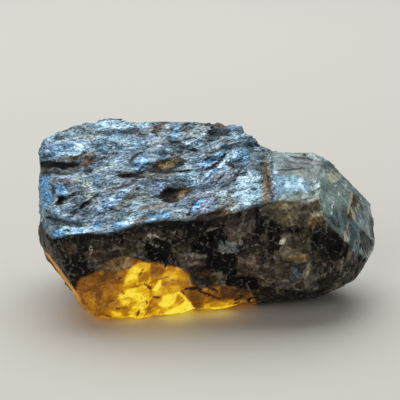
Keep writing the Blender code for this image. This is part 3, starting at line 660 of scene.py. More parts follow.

# The white-glass lines are painted highlights on the edges of the glassy faces.
END_LINES = (
    Line("junction edge", ((270, 158), (267, 167), (269, 175)), 0.3, Tone.PALE_BLUE, -0.1),
    Line("roof crack", ((277, 170), (290, 170), (304, 168)), 0.22, Tone.PLUM, 0.12),
    Line("light ridge", ((324.5, 170), (321.5, 177), (319.5, 186)), 0.34, Tone.WHITE_GLASS, -0.18),
    Line("rim crack at the end", ((290, 157), (306, 158.5), (319, 161.5)), 0.2, Tone.PLUM, 0.1),
    Line("beige crack", ((329, 172), (336, 177), (341, 180)), 0.14, Tone.WHITE_GLASS),
    Line("scratch on the slope", ((346, 183), (345, 187), (344, 192)), 0.26, Tone.WHITE_GLASS),
    Line("short scratch", ((338, 192), (340, 195), (343, 198)), 0.16, Tone.WHITE_GLASS),
    Line("slope speck", ((324, 206), (325, 209)), 0.2, Tone.WHITE_GLASS),
    Line("rib seam", ((356, 194), (352.5, 206), (348, 218)), 0.26, Tone.SMOKE, 0.1),
    Line("cream edge", ((361, 199), (356, 209), (352.5, 219)), 0.3, Tone.CREAM_GLASS, -0.1),
    Line("cream line", ((352, 193), (350, 203), (348, 213)), 0.24, Tone.CREAM_GLASS),
    Line("rib line", ((348.5, 222), (347.5, 228), (346, 235), (345, 241)), 0.22, Tone.CREAM_GLASS, -0.08),
    Line("steel streak", ((360, 215), (361.5, 220), (363, 226)), 0.34, Tone.WHITE_BLUE),
    Line("blue edge", ((350, 220), (357, 223.5), (362.5, 231)), 0.14, Tone.PALE_BLUE),
    Line("wedge edge line", ((362.5, 231), (361, 240), (359, 249)), 0.14, Tone.EARTH, 0.08),
    Line("outer edge line", ((363, 231), (369, 238), (374, 245)), 0.14, Tone.EARTH),
)

LIT_PANES = (
    LitPane("brown margin", ((79, 292), (82, 280), (95, 275), (102, 270), (118, 273), (126, 270),
        (123, 284), (105, 285), (92, 290), (83, 300)), 0.38, 0.25),
    LitPane("tan lobe", ((102, 270), (104, 262), (116, 258), (121, 256), (130, 257), (140, 261),
        (131, 266), (124, 269), (117, 273), (105, 273)), 0.14, 0.15),
    LitPane("tan lobe right", ((130, 257), (141, 260), (155, 264), (151, 268), (140, 263), (131, 266)),
        0.42),
    LitPane("right slope", ((149, 263), (160, 267), (170, 266), (181, 268), (189, 275), (190, 284),
        (182, 288), (172, 286), (165, 284), (158, 290), (150, 290)), 0.56),
    LitPane("slope shade", ((150, 265), (165, 267), (168, 270), (158, 276), (151, 278)), 0.42, 0.25),
    LitPane("slope light", ((160, 277), (168, 271), (178, 270), (186, 276), (182, 280), (168, 281)), 0.63,
        0.3),
    LitPane("big lobe", ((83, 297), (92, 289), (105, 285), (122, 284), (146, 284), (152, 289), (151, 300),
        (149, 310), (142, 320), (125, 324), (110, 323), (98, 318), (90, 309)), 0.57),
    LitPane("big lobe top", ((84, 295), (96, 288), (118, 286), (112, 293), (99, 297), (86, 300)), 0.52,
        0.2),
    LitPane("big lobe shade", ((97, 297), (108, 294), (117, 297), (119, 306), (114, 309), (96, 309),
        (94, 303)), 0.47, 0.3),
    LitPane("big lobe foot", ((104, 311), (122, 309), (134, 311), (130, 319), (112, 318)), 0.72, 0.25),
    LitPane("big lobe end", ((128, 312), (137, 310), (142, 308), (147, 312), (141, 320), (131, 319)),
        0.84, 0.15),
    LitPane("big lobe core", ((118, 294), (128, 291), (134, 286), (148, 286), (152, 291), (151, 300),
        (147, 308), (133, 310), (123, 305)), 0.91, 0.3),
    LitPane("core fold", ((124, 291), (133, 288), (138, 293), (131, 296)), 1.0, 0.2),
    LitPane("upper lobe", ((124, 286), (126, 276), (130, 269), (136, 264), (143, 262), (150, 263),
        (151, 270), (151, 281), (148, 286), (138, 287)), 0.74, 0.08),
    LitPane("upper lobe light", ((129, 279), (132, 271), (138, 266), (142, 270), (141, 277), (136, 281)),
        0.89, 0.3),
    LitPane("right base", ((149, 291), (158, 288), (166, 284), (180, 286), (184, 294), (195, 307),
        (196, 311), (176, 314), (160, 316), (147, 317), (148, 308), (152, 299)), 0.66, 0.08),
    LitPane("right core rim", ((163, 292), (168, 286), (178, 286), (176, 291), (168, 293)), 0.77, 0.2),
    LitPane("streak", ((153, 290), (157, 283), (159, 278), (163, 279), (161, 286), (156, 291)), 0.93,
        0.08),
    LitPane("right core", ((158, 305), (162, 297), (168, 294), (178, 292), (176, 299), (172, 306),
        (163, 308)), 1.0, 0.15),
    LitPane("pale wedge", ((163, 314), (172, 309), (182, 304), (186, 300), (191, 305), (197, 311),
        (183, 315)), 1.1, 0.06),
    LitPane("margin", ((183, 291), (191, 289), (203, 293), (216, 299), (232, 301), (250, 301), (250, 306),
        (230, 308), (210, 311), (196, 313), (187, 300)), 0.5),
    LitPane("margin shade", ((188, 293), (199, 294), (203, 302), (199, 307), (191, 305)), 0.41, 0.2),
    LitPane("margin light", ((198, 309), (204, 304), (216, 301), (230, 302), (228, 308), (208, 311)),
        0.74, 0.2),
    LitPane("far rust", ((219, 287), (232, 287), (250, 293), (250, 301), (222, 299)), 0.22, 0.25),
)

LIT_LINES = (
    LitLine("wedge edge", ((178, 292), (183, 296), (188, 301), (195, 310)), 0.24, 1.05),
    LitLine("dark mark", ((153, 297), (159, 297.5)), 0.22, 0.08),
    LitLine("dark notch", ((144, 283.5), (148, 286), (151, 289)), 0.2, 0.08),
    LitLine("dark tick", ((147.5, 300), (147.5, 304)), 0.16, 0.12),
    LitLine("low dark tick", ((137.5, 315), (139, 311)), 0.22, 0.12),
    LitLine("lobe tick", ((140, 275), (142, 270)), 0.16, 0.25),
    LitLine("small tick", ((121.5, 291.5), (124, 294)), 0.15, 0.25),
    LitLine("low tick", ((116, 308), (119, 308.5)), 0.15, 0.25),
    LitLine("rim tick", ((181, 290), (184, 294)), 0.18, 0.12),
    LitLine("lobe line", ((151, 289), (151, 300), (148, 310), (144, 317)), 0.16, 0.5),
    LitLine("under the upper lobe", ((126, 286), (134, 287), (143, 284)), 0.18, 0.52),
    LitLine("fold line", ((122, 299), (130, 298), (136, 302)), 0.18, 0.68),
    LitLine("slope line", ((151, 283), (158, 279), (168, 277)), 0.16, 0.44),
    LitLine("margin crack", ((185, 289), (196, 288), (207, 286), (217, 291)), 0.36, 0.1),
    LitLine("margin crack low", ((199, 291), (210, 295), (220, 299)), 0.26, 0.12),
    LitLine("thin margin crack", ((211, 297), (222, 298.5)), 0.16, 0.14),
    LitLine("base line", ((196, 311), (210, 309.5), (228, 306.5), (246, 304.5)), 0.34, 0.92),
    LitLine("left rim", ((46, 253), (54, 263), (63, 276), (72, 288), (80, 299)), 0.4, 0.6),
)


def smooth(low: float, high: float, value: np.ndarray) -> np.ndarray:
    """A ramp from 0 at low to 1 at high, with soft ends."""
    share = np.clip((value - low) / (high - low), 0.0, 1.0)
    return share * share * (3.0 - 2.0 * share)


def lattice(cells: np.ndarray, seed: int) -> np.ndarray:
    """One fixed number from -1 to 1 for each whole-number cell.

    Args:
        cells: Whole numbers, one row of three for each point.
        seed: Which set of numbers to give.

    Returns:
        One number for each row.
    """
    mixed = cells.astype(np.int64) @ np.array(CELL_PRIMES) + seed * SEED_PRIME
    mixed = (mixed ^ (mixed >> 13)) * FIRST_PRIME & WORD
    mixed = (mixed ^ (mixed >> 16)) * SECOND_PRIME & WORD
    return (mixed ^ (mixed >> 15)) / HALF_WORD - 1.0


def noise(points: np.ndarray, size: float, seed: int, octaves: int = 3) -> np.ndarray:
    """Smooth noise from about -1 to 1 at each point.

    Args:
        points: Points in millimetres.
        size: Width of the largest swells.
        seed: Which noise to give.
        octaves: How many finer layers are added.

    Returns:
        One number for each point.
    """
    total, weight, found = np.zeros(len(points)), 0.0, 0.5
    for octave in range(octaves):
        scaled = points * (2.0**octave / size) + LAYER_SHIFT * octave
        floor = np.floor(scaled)
        part = scaled - floor
        part = part * part * (3.0 - 2.0 * part)
        layer = np.zeros(len(points))
        for corner in np.ndindex(2, 2, 2):
            share = np.prod(np.where(corner, part, 1.0 - part), axis=1)
            layer += share * lattice(floor + corner, seed + octave)
        total += found * layer
        weight += found
        found *= LAYER_FADE
    return total / weight * NOISE_GAIN


def heading(along: np.ndarray | float) -> np.ndarray | float:
    """The heading of the grain, in radians, at a place along the stone."""
    share = np.clip((along - GRAIN_FROM) / GRAIN_SPAN, 0.0, 1.0)
    return np.radians(GRAIN_LEFT + GRAIN_TURN * share**GRAIN_POWER)


def swirl(points: np.ndarray) -> np.ndarray:
    """How far the grain strays from its heading at each point, in radians."""
    return SWIRL_TURN * noise(points, SWIRL_SIZE, Seed.SWIRL, 2)


def frame_shell() -> bmesh.types.BMesh:
    """A copy of the frame's skin, with its doubles merged.

    Returns:
        The copy, in millimetres.
    """
    shell = bmesh.new()
    shell.from_mesh(frame["nodes"][NODE].data)
    bmesh.ops.remove_doubles(shell, verts=shell.verts, dist=0.001 * MM)
    bmesh.ops.scale(shell, vec=(1 / MM,) * 3, verts=shell.verts)
    return shell


@functools.cache
def stations(pixels: Places) -> np.ndarray:
    """The places on the frame's skin that a row of pixels shows.

    Args:
        pixels: Pixels of the picture, from left to right.

    Returns:
        One place for each pixel, in millimetres.
    """
    shell = frame_shell()
    tree = BVHTree.FromBMesh(shell)
    shell.free()
    tilt = math.radians(ELEVATION)
    ahead = np.array((0.0, math.cos(tilt), -math.sin(tilt)))
    eye = AIM - AWAY * ahead
    found = []
    for across, down in pixels:
        level, rise = (across - PICTURE / 2) / PIXELS, (PICTURE / 2 - down) / PIXELS
        towards = ahead * AWAY + (level, rise * math.sin(tilt), rise * math.cos(tilt))
        found.append(tree.ray_cast(Vector(eye), Vector(towards))[0])
    return np.array(found)


def station(pixels: Places, along: np.ndarray) -> tuple[np.ndarray, np.ndarray]:
    """The y and z of a row of stations at each place along the stone."""
    table = stations(pixels)
    return np.interp(along, table[:, 0], table[:, 1]), np.interp(along, table[:, 0], table[:, 2])


@dataclass(frozen=True)
class Zones:
    """How far each point of the stone belongs to the broken top and to the pointed end."""

    points: np.ndarray

    def above_edges(self) -> np.ndarray:
        """How far each point lies above the lines that split the top from the sides.

        Returns:
            One number for each point, in millimetres, less than 0 on the sides.
        """
        x, y, z = self.points.T
        crest_y, crest_z = station(CREST, x)
        rim_y, rim_z = station(RIM, x)
        slope = (rim_z - crest_z) / np.maximum(rim_y - crest_y, 1.0)
        plane = crest_z + slope * (y - crest_y)
        front = (z - crest_z) + EDGE_SLOPE * (y - crest_y) + FRONT_DROP
        back = (z - rim_z) + EDGE_SLOPE * (rim_y - y) + BACK_DROP
        left = (z - plane) + LEFT_SLOPE * (x - LEFT_END) + LEFT_DROP
        return np.minimum.reduce([front, back, left, (z - plane) + TOP_DROP])

    def top(self) -> np.ndarray:
        """1 on the broken top and the top of the pointed end, 0 on the sides."""
        ragged = 0.14 * noise(self.points, 1.6, Seed.TOP_EDGE)
        return smooth(-0.15, 0.25, self.above_edges() + ragged)

    def end(self) -> np.ndarray:
        """1 beyond the junction where the pointed end starts."""
        ragged = 0.5 * noise(self.points, 2.0, Seed.JUNCTION_EDGE)
        return smooth(-SOFT_EDGE, SOFT_EDGE, self.points[:, 0] - JUNCTION + ragged)

    def roof(self) -> np.ndarray:
        """1 on the broken top before the junction, 0 elsewhere."""
        return self.top() * (1.0 - self.end())

    def front(self, start: float = FRONT_START, full: float = FRONT_FULL) -> np.ndarray:
        """1 on the front under the top, rising from a start to full from back to front."""
        return (1.0 - self.top()) * smooth(start, full, self.points[:, 1])

    def glassy(self) -> np.ndarray:
        """1 on the clear planar faces of the pointed end, over its dark band."""
        x, _, z = self.points.T
        above = np.minimum(x - GLASSY_FROM, z - BAND_LEVEL + BAND_SLOPE * x)
        return smooth(-SOFT_EDGE, SOFT_EDGE, above) + self.top() * self.end()


def grain_coordinates(points: np.ndarray) -> np.ndarray:
    """Millimetres along the grain, across it and up, for patterns that follow the grain.

    Args:
        points: Points in millimetres.

    Returns:
        Three numbers for each point.
    """
    steps = np.linspace(-GRAIN_REACH, GRAIN_REACH, round(2 * GRAIN_REACH / GRAIN_STEP) + 1)
    rise = np.concatenate([[0.0], np.cumsum(np.tan(heading(steps[:-1])) * GRAIN_STEP)])
    x, y, z = points.T
    turn = heading(x)
    drift = 0.9 * noise(points, 5.0, Seed.GRAIN_DRIFT, 2)
    across = (y - np.interp(x, steps, rise)) * np.cos(turn) + drift
    return np.stack([x / np.cos(turn) * 0.9 + 0.35 * across, across, z], axis=1)


def pictured(points: np.ndarray) -> np.ndarray:
    """The pixel of the camera's picture that each point falls on.

    Args:
        points: Points in millimetres.

    Returns:
        Pixels across and down, one row for each point.
    """
    tilt = math.radians(ELEVATION)
    ahead = points - AIM
    depth = AWAY + ahead @ (0.0, math.cos(tilt), -math.sin(tilt))
    rise = ahead @ (0.0, math.sin(tilt), math.cos(tilt))
    return PICTURE / 2 + np.column_stack([ahead[:, 0], -rise]) * (PIXELS * AWAY / depth)[:, None]


def close_to(joints: np.ndarray, picture: np.ndarray) -> np.ndarray:
    """Which pixels lie near enough to a pane or a line to be measured."""
    low, high = joints.min(axis=0) - NEAR * PIXELS, joints.max(axis=0) + NEAR * PIXELS
    return np.flatnonzero(((picture > low) & (picture < high)).all(axis=1))


def reach_of(places: Places, width: float, picture: np.ndarray) -> np.ndarray:
    """How far each pixel lies from a line, from 0 on it to 1 at its edge, with its ends drawn thin.

    Args:
        places: The pixels the line runs through.
        width: How wide the line is, in millimetres.
        picture: The pixels that are measured.

    Returns:
        One number for each pixel.
    """
    total = np.full(len(picture), FAR)
    joints = np.array(places, float)
    near = close_to(joints, picture)
    flat, count = picture[near], len(joints) - 1
    found = total[near]
    for i in range(count):
        step = joints[i + 1] - joints[i]
        share = np.clip((flat - joints[i]) @ step / (step @ step), 0.0, 1.0)
        away = np.linalg.norm(flat - joints[i] - share[:, None] * step, axis=1)
        thin = LINE_MIDDLE - LINE_TAPER * ((i + share) / count - 0.5) ** 2
        found = np.minimum(found, away / (0.5 * width * PIXELS * thin))
    total[near] = found
    return total


def beyond(corners: Places, picture: np.ndarray) -> np.ndarray:
    """How far each pixel lies outside a pane's edges in millimetres, less than 0 inside.

    Args:
        corners: The pane's corners in order, in pixels.
        picture: The pixels that are measured.

    Returns:
        One number for each pixel.
    """
    total = np.full(len(picture), FAR)
    ring = np.array(corners, float)
    near = close_to(ring, picture)
    flat = picture[near]
    away = total[near]
    inside = np.zeros(len(flat), dtype=bool)
    for first, second in zip(ring, np.roll(ring, -1, axis=0)):
        step = second - first
        share = np.clip((flat - first) @ step / (step @ step), 0.0, 1.0)
        away = np.minimum(away, np.linalg.norm(flat - first - share[:, None] * step, axis=1))
        if step[1]:
            level = (first[1] > flat[:, 1]) != (second[1] > flat[:, 1])
            inside ^= level & (flat[:, 0] < first[0] + (flat[:, 1] - first[1]) * step[0] / step[1])
    total[near] = np.where(inside, -away, away) / PIXELS
    return total


def oval(patch: Patch, picture: np.ndarray) -> np.ndarray:
    """How far out of a patch each pixel is, from 0 at its middle to 1 at its edge.

    Args:
        patch: The patch, with its centre, half sizes and turn.
        picture: The pixels that are measured.

    Returns:
        One number for each pixel.
    """
    turn = math.radians(patch.turn)
    first, second = ((picture - patch.centre) * (1.0, -1.0)).T / PIXELS
    along = np.abs(math.cos(turn) * first + math.sin(turn) * second) / patch.half[0]
    across = np.abs(math.cos(turn) * second - math.sin(turn) * first) / patch.half[1]
    power = SQUARE if patch.boxy else ROUND
    return (along**power + across**power) ** (1.0 / power)


def vertex_normals(points: np.ndarray, triangles: np.ndarray) -> np.ndarray:
    """Unit normals of a closed skin at its points.

    Args:
        points: The points of the skin.
        triangles: Three points for each triangle.

    Returns:
        One normal for each point.
    """
    first, second, third = (points[triangles[:, i]] for i in range(3))
    facing = np.cross(second - first, third - first)
    total = np.zeros_like(points)
    for i in range(3):
        for axis in range(3):
            total[:, axis] += np.bincount(triangles[:, i], facing[:, axis], len(points))
    return total / np.maximum(np.linalg.norm(total, axis=1, keepdims=True), 1e-12)


def areas_of(corners: np.ndarray) -> np.ndarray:
    """The area of each triangle whose three corners are given."""
    sides = np.cross(corners[:, 1] - corners[:, 0], corners[:, 2] - corners[:, 0])
    return 0.5 * np.linalg.norm(sides, axis=1)


def means(values: np.ndarray, owner: np.ndarray, count: int) -> np.ndarray:
    """The mean of the rows of values that each of a count of owners has."""
    total = np.stack([np.bincount(owner, column, count) for column in values.T], axis=1)
    return total / np.maximum(np.bincount(owner, minlength=count), 1)[:, None]


def spread(values: np.ndarray, edges: np.ndarray, rounds: int) -> np.ndarray:
    """Values evened out along the edges of a mesh.

    Args:
        values: One row for each point.
        edges: Pairs of points.
        rounds: How many times each point takes the mean of its neighbours.

    Returns:
        The evened values.
    """
    count = np.bincount(edges.ravel(), minlength=len(values)).astype(float)
    for _ in range(rounds):
        total = np.stack(
            [
                np.bincount(edges[:, 0], column[edges[:, 1]], len(values))
                + np.bincount(edges[:, 1], column[edges[:, 0]], len(values))
                for column in values.T
            ],
            axis=1,
        )
        values = 0.5 * values + 0.5 * total / count[:, None]
    return values


@dataclass
class Skin:
    """The points, triangles and edges of a closed mesh, in millimetres."""

    points: np.ndarray
    triangles: np.ndarray
    edges: np.ndarray

    @classmethod
    def of(cls, mesh: bpy.types.Mesh) -> "Skin":
        """Reads a mesh.

        Args:
            mesh: A closed mesh in metres.

        Returns:
            Its skin.
        """
        mesh.calc_loop_triangles()
        points = np.empty(len(mesh.vertices) * 3)
        mesh.vertices.foreach_get("co", points)
        triangles = np.empty(len(mesh.loop_triangles) * 3, np.int32)
        mesh.loop_triangles.foreach_get("vertices", triangles)
        edges = np.empty(len(mesh.edges) * 2, np.int32)
        mesh.edges.foreach_get("vertices", edges)
        return cls(points.reshape(-1, 3) / MM, triangles.reshape(-1, 3), edges.reshape(-1, 2))

    def normals(self) -> np.ndarray:
        """Unit normals at the points."""
        return vertex_normals(self.points, self.triangles)

    def write(self, mesh: bpy.types.Mesh) -> None:
        """Puts the points back into a mesh."""
        mesh.vertices.foreach_set("co", (self.points * MM).ravel())
        mesh.update()


def modified(bare: bpy.types.Object, name: str) -> bpy.types.Mesh:
    """A new mesh of an object with its modifiers applied, and the object removed.

    Args:
        bare: The object with live modifiers.
        name: The new mesh's name.

    Returns:
        The new mesh.
    """
    graph = bpy.context.evaluated_depsgraph_get()
    mesh = bpy.data.meshes.new_from_object(bare.evaluated_get(graph))
    mesh.name = name
    bpy.data.objects.remove(bare)
    return mesh


def placed(name: str, mesh: bpy.types.Mesh) -> bpy.types.Object:
    """A new object in the scene that shows a mesh.

    Args:
        name: The object's name.
        mesh: What it shows.

    Returns:
        The object, at the origin.
    """
    piece = bpy.data.objects.new(name, mesh)
    bpy.context.scene.collection.objects.link(piece)
    return piece


def out_of(tree: BVHTree, point: Vector) -> float:
    """How far outside a skin a point is, and nothing where it is inside."""
    near, normal, _, distance = tree.find_nearest(point)
    return distance if (point - near).dot(normal) > 0 else 0.0


@dataclass
class Chip:
    """One small plate or block that is rooted in the stone."""

    place: Vector
    normal: Vector
    lengthways: Vector
    length: float
    width: float
    proud: float
    root: float
    sides: int
    twist: float

    def add_to(self, shell: bmesh.types.BMesh) -> None:
        """Adds the chip's closed shape to a mesh.

        Args:
            shell: The mesh it is added to, in millimetres.
        """
        across = self.normal.cross(self.lengthways).normalized()
        along = across.cross(self.normal).normalized()
        basis = Matrix((along, across, self.normal)).transposed().to_4x4()
        middle = self.place + self.normal * (self.proud - self.root) / 2
        size = Matrix.Diagonal((self.length / 2, self.width / 2, self.proud + self.root, 1.0))
        bmesh.ops.create_cone(
            shell,
            cap_ends=True,
            segments=self.sides,
            radius1=0.85,
            radius2=1.0,
            depth=1.0,
            matrix=Matrix.Translation(middle) @ basis @ size @ Matrix.Rotation(self.twist, 4, "Z"),
        )

    def fitted(self, tree: BVHTree, slack: float, shrink: tuple[float, float]) -> "Chip | None":
        """Makes the chip smaller until none of its ends stands out too far.

        Args:
            tree: The skin that carries it.
            slack: How far an end may stand out over the chip's own height, in millimetres.
            shrink: What its length and its width are multiplied by each time.

        Returns:
            The chip, or nothing where it never fits.
        """
        across = self.normal.cross(self.lengthways).normalized()
        along = across.cross(self.normal)
        for _ in range(TRIES):
            ends = [along * self.length, along * -self.length, across * self.width, across * -self.width]
            tips = [self.place + end / 2 + self.normal * self.proud for end in ends]
            if max(out_of(tree, tip) for tip in tips) < self.proud + slack:
                return self
            self.length *= shrink[0]
            self.width *= shrink[1]
        return None


@dataclass(frozen=True)
class Sizes:
    """The least and the greatest length, width and height of some chips, in millimetres."""

    length: tuple[float, float]
    width: tuple[float, float]
    proud: tuple[float, float]

    def drawn(self, chooser: random.Random) -> list[float]:
        """A length, a width and a height."""
        return [chooser.uniform(*limits) for limits in (self.length, self.width, self.proud)]


@dataclass(frozen=True)
class Cut(Sizes):
    """Chips that lie along a few headings, in degrees, seen from the front."""

    turns: tuple[float, ...]
    stray: float
    ahead: float

    def lengthways(self, chooser: random.Random) -> Vector:
        """A direction near one of the headings."""
        turn = math.radians(chooser.choice(self.turns) + chooser.gauss(0.0, self.stray))
        return Vector((math.cos(turn), self.ahead, math.sin(turn)))


def leaned(normal: Vector, lean: float, chooser: random.Random) -> Vector:
    """A normal that leans a little at random."""
    return (normal + Vector([chooser.gauss(0.0, lean) for _ in range(3)])).normalized()


def join_all(chips: list[Chip], whole: bmesh.types.BMesh) -> None:
    """Adds chips to a mesh, a batch at a time.

    Args:
        chips: The chips, in order.
        whole: The mesh they are added to, in millimetres.
    """
    spare = bpy.data.meshes.new("spare")
    for start in range(0, len(chips), BATCH):
        part = bmesh.new()
        for chip in chips[start : start + BATCH]:
            chip.add_to(part)
        part.to_mesh(spare)
        part.free()
        whole.from_mesh(spare)
    bpy.data.meshes.remove(spare)


@dataclass
class Facets:
    """Flat facets that a skin is split into, like the faces of a broken crystal."""

    top_size: tuple[float, float, float]
    side_size: tuple[float, float, float]
    limit: float
    lean: float
    terrace: float
    seed: int
    glassy_scale: tuple[float, float, float] = (0.75, 0.75, 0.5)
    glassy_area: float = 2.4
    step_range: tuple[float, float] = (0.3, 1.4)
    apart: float = 80.0

    def split(self, skin: Skin) -> np.ndarray:
        """Moves the points of a skin on to the planes of its facets.

        Args:
            skin: The skin, whose points are moved.

        Returns:
            One number from 0 to 1 for each point, the same all over a facet.
        """
        zones = Zones(skin.points)
        top, glassy = zones.roof() > 0.5, zones.glassy() > 0.5
        cells = self.cells(skin.points, top, glassy)
        share = np.where(top, np.prod(self.top_size[:2]), np.prod(self.side_size[1:]))
        share = share * np.where(glassy, self.glassy_area, 1.0)
        area = areas_of(skin.points[skin.triangles]).sum()
        chooser = np.random.default_rng(self.seed)
        chance = area / len(skin.points) / share
        seeds = np.flatnonzero(chooser.random(len(skin.points)) < chance)
        tree = KDTree(len(seeds))
        for i, cell in enumerate(cells[seeds]):
            tree.insert(cell, i)
        tree.balance()
        owner = np.array([tree.find(cell)[1] for cell in cells])
        centre = means(skin.points, owner, len(seeds))
        facing = means(skin.normals(), owner, len(seeds))
        turn = heading(centre[:, 0]) + swirl(centre)
        uphill = np.stack([-np.sin(turn), np.cos(turn), np.zeros(len(seeds))], axis=1)
        steps = self.terrace * top[seeds, None] * chooser.uniform(*self.step_range, (len(seeds), 1))
        facing = facing + chooser.normal(0.0, self.lean, (len(seeds), 3)) + uphill * steps
        facing /= np.maximum(np.linalg.norm(facing, axis=1, keepdims=True), 1e-9)
        away = np.einsum("ij,ij->i", centre[owner] - skin.points, facing[owner])
        skin.points += facing[owner] * np.clip(away, -self.limit, self.limit)[:, None]
        return chooser.random(len(seeds))[owner]

    def cells(self, points: np.ndarray, top: np.ndarray, glassy: np.ndarray) -> np.ndarray:
        """Coordinates in which every facet is about one unit wide, far apart for each part.

        Args:
            points: Points in millimetres.
            top: Which points lie on the broken top.
            glassy: Which points lie on the glassy faces.

        Returns:
            Three numbers for each point.
        """
        sides = points / self.side_size
        sides[glassy] = sides[glassy] * self.glassy_scale - self.apart
        return np.where(top[:, None], grain_coordinates(points) / self.top_size + self.apart, sides)


BLOCKS = Facets(
    top_size=(3.4, 1.3, 2.0),
    side_size=(2.6, 2.6, 2.4),
    limit=0.25,
    lean=0.06,
    terrace=0.08,
    seed=Seed.BLOCKS,
)
CHIPS = Facets(
    top_size=(1.2, 0.5, 1.0),
    side_size=(1.1, 1.1, 1.0),
    limit=0.08,
    lean=0.1,
    terrace=0.08,
    seed=Seed.CHIPS,
)


class Graph:
    """Short calls that place and join the nodes of one tree."""

    def __init__(self, tree: bpy.types.NodeTree) -> None:
        """Takes the tree that the nodes go into."""
        self.tree = tree

    def add(self, kind: str, inputs: dict | None = None, **settings: object) -> bpy.types.Node:
        """Places a node.

        Args:
            kind: The node's type.
            inputs: What goes into its sockets, as plain values or other nodes' outputs.
            settings: The node's own settings.

        Returns:
            The node.
        """
        node = self.tree.nodes.new(kind)
        for name, value in settings.items():
            setattr(node, name, value)
        for name, value in (inputs or {}).items():
            self.feed(node.inputs[name], value)
        return node

    def feed(self, socket: bpy.types.NodeSocket, value: object) -> None:
        """Joins an output to a socket, or sets the socket's plain value.

        Args:
            socket: The socket that gets it.
            value: The output or the plain value.
        """
        if isinstance(value, bpy.types.NodeSocket):
            self.tree.links.new(value, socket)
        else:
            socket.default_value = value

    def fill(self, node: bpy.types.Node, places: tuple[int, ...], values: tuple) -> bpy.types.Node:
        """Feeds the sockets of a node that have no name of their own.

        Args:
            node: The node.
            places: Which sockets, by number.
            values: One output or plain value for each.

        Returns:
            The node.
        """
        for place, value in zip(places, values):
            self.feed(node.inputs[place], value)
        return node

    def maths(self, operation: str, *values: object) -> bpy.types.NodeSocket:
        """The result of a sum on one to three numbers."""
        node = self.add("ShaderNodeMath", operation=operation)
        return self.fill(node, (0, 1, 2), values).outputs[0]

    def blend(self, share: object, first: object, second: object, how: str = "MIX") -> object:
        """A colour between two others."""
        node = self.add("ShaderNodeMix", data_type="RGBA", blend_type=how)
        return self.fill(node, (0, 6, 7), (share, first, second)).outputs[2]

    def between(self, share: object, first: object, second: object) -> bpy.types.NodeSocket:
        """A number between two others."""
        node = self.add("ShaderNodeMix", data_type="FLOAT")
        return self.fill(node, (0, 2, 3), (share, first, second)).outputs[0]

    def times(self, first: object, second: object) -> bpy.types.NodeSocket:
        """The product of two numbers."""
        return self.maths("MULTIPLY", first, second)

    def weighted(self, parts: tuple, shares: tuple[float, ...]) -> bpy.types.NodeSocket:
        """The sum of some numbers, each times its share.

        Args:
            parts: The outputs that are added.
            shares: One share for each.

        Returns:
            The sum.
        """
        total = self.times(parts[0], shares[0])
        for part, share in zip(parts[1:], shares[1:]):
            total = self.maths("MULTIPLY_ADD", part, share, total)
        return total

    def ramp(
        self, value: object, low: object, high: object, start: object = 0.0, end: object = 1.0
    ) -> bpy.types.NodeSocket:
        """A number carried from one range to another, and held at its ends."""
        given = {"Value": value, "From Min": low, "From Max": high, "To Min": start, "To Max": end}
        return self.add("ShaderNodeMapRange", given, clamp=True).outputs[0]

    def attribute(self, name: str, output: str = "Color") -> bpy.types.NodeSocket:
        """What a mesh keeps at its points under a name."""
        return self.add("ShaderNodeAttribute", attribute_name=name).outputs[output]

    def parts(self, value: bpy.types.NodeSocket) -> list[bpy.types.NodeSocket]:
        """The three numbers of a vector."""
        return list(self.add("ShaderNodeSeparateXYZ", {"Vector": value}).outputs)

    def stretched(self, value: object, scale: tuple[float, float, float]) -> bpy.types.NodeSocket:
        """Coordinates stretched by a scale on each axis."""
        return self.add("ShaderNodeMapping", {"Vector": value, "Scale": scale}).outputs[0]


class Kind(Enum):
    """The kinds of socket that a group has."""

    NUMBER = "NodeSocketFloat"
    COLOUR = "NodeSocketColor"
    VECTOR = "NodeSocketVector"


@dataclass(frozen=True)
class Group:
    """A node group with named inputs and outputs."""

    name: str
    inputs: tuple[tuple[str, Kind, object], ...]
    outputs: tuple[tuple[str, Kind], ...]

    def make(self) -> tuple[bpy.types.NodeTree, Graph, bpy.types.Node, bpy.types.Node]:
        """Makes the group with nothing in it yet.

        Returns:
            The group, its graph, its input node and its output node.
        """
        tree = bpy.data.node_groups.new(self.name, "ShaderNodeTree")
        for name, kind, value in self.inputs:
            socket = tree.interface.new_socket(name, in_out="INPUT", socket_type=kind.value)
            if value is not None:
                socket.default_value = value
        for name, kind in self.outputs:
            tree.interface.new_socket(name, in_out="OUTPUT", socket_type=kind.value)
        graph = Graph(tree)
        return tree, graph, graph.add("NodeGroupInput"), graph.add("NodeGroupOutput")


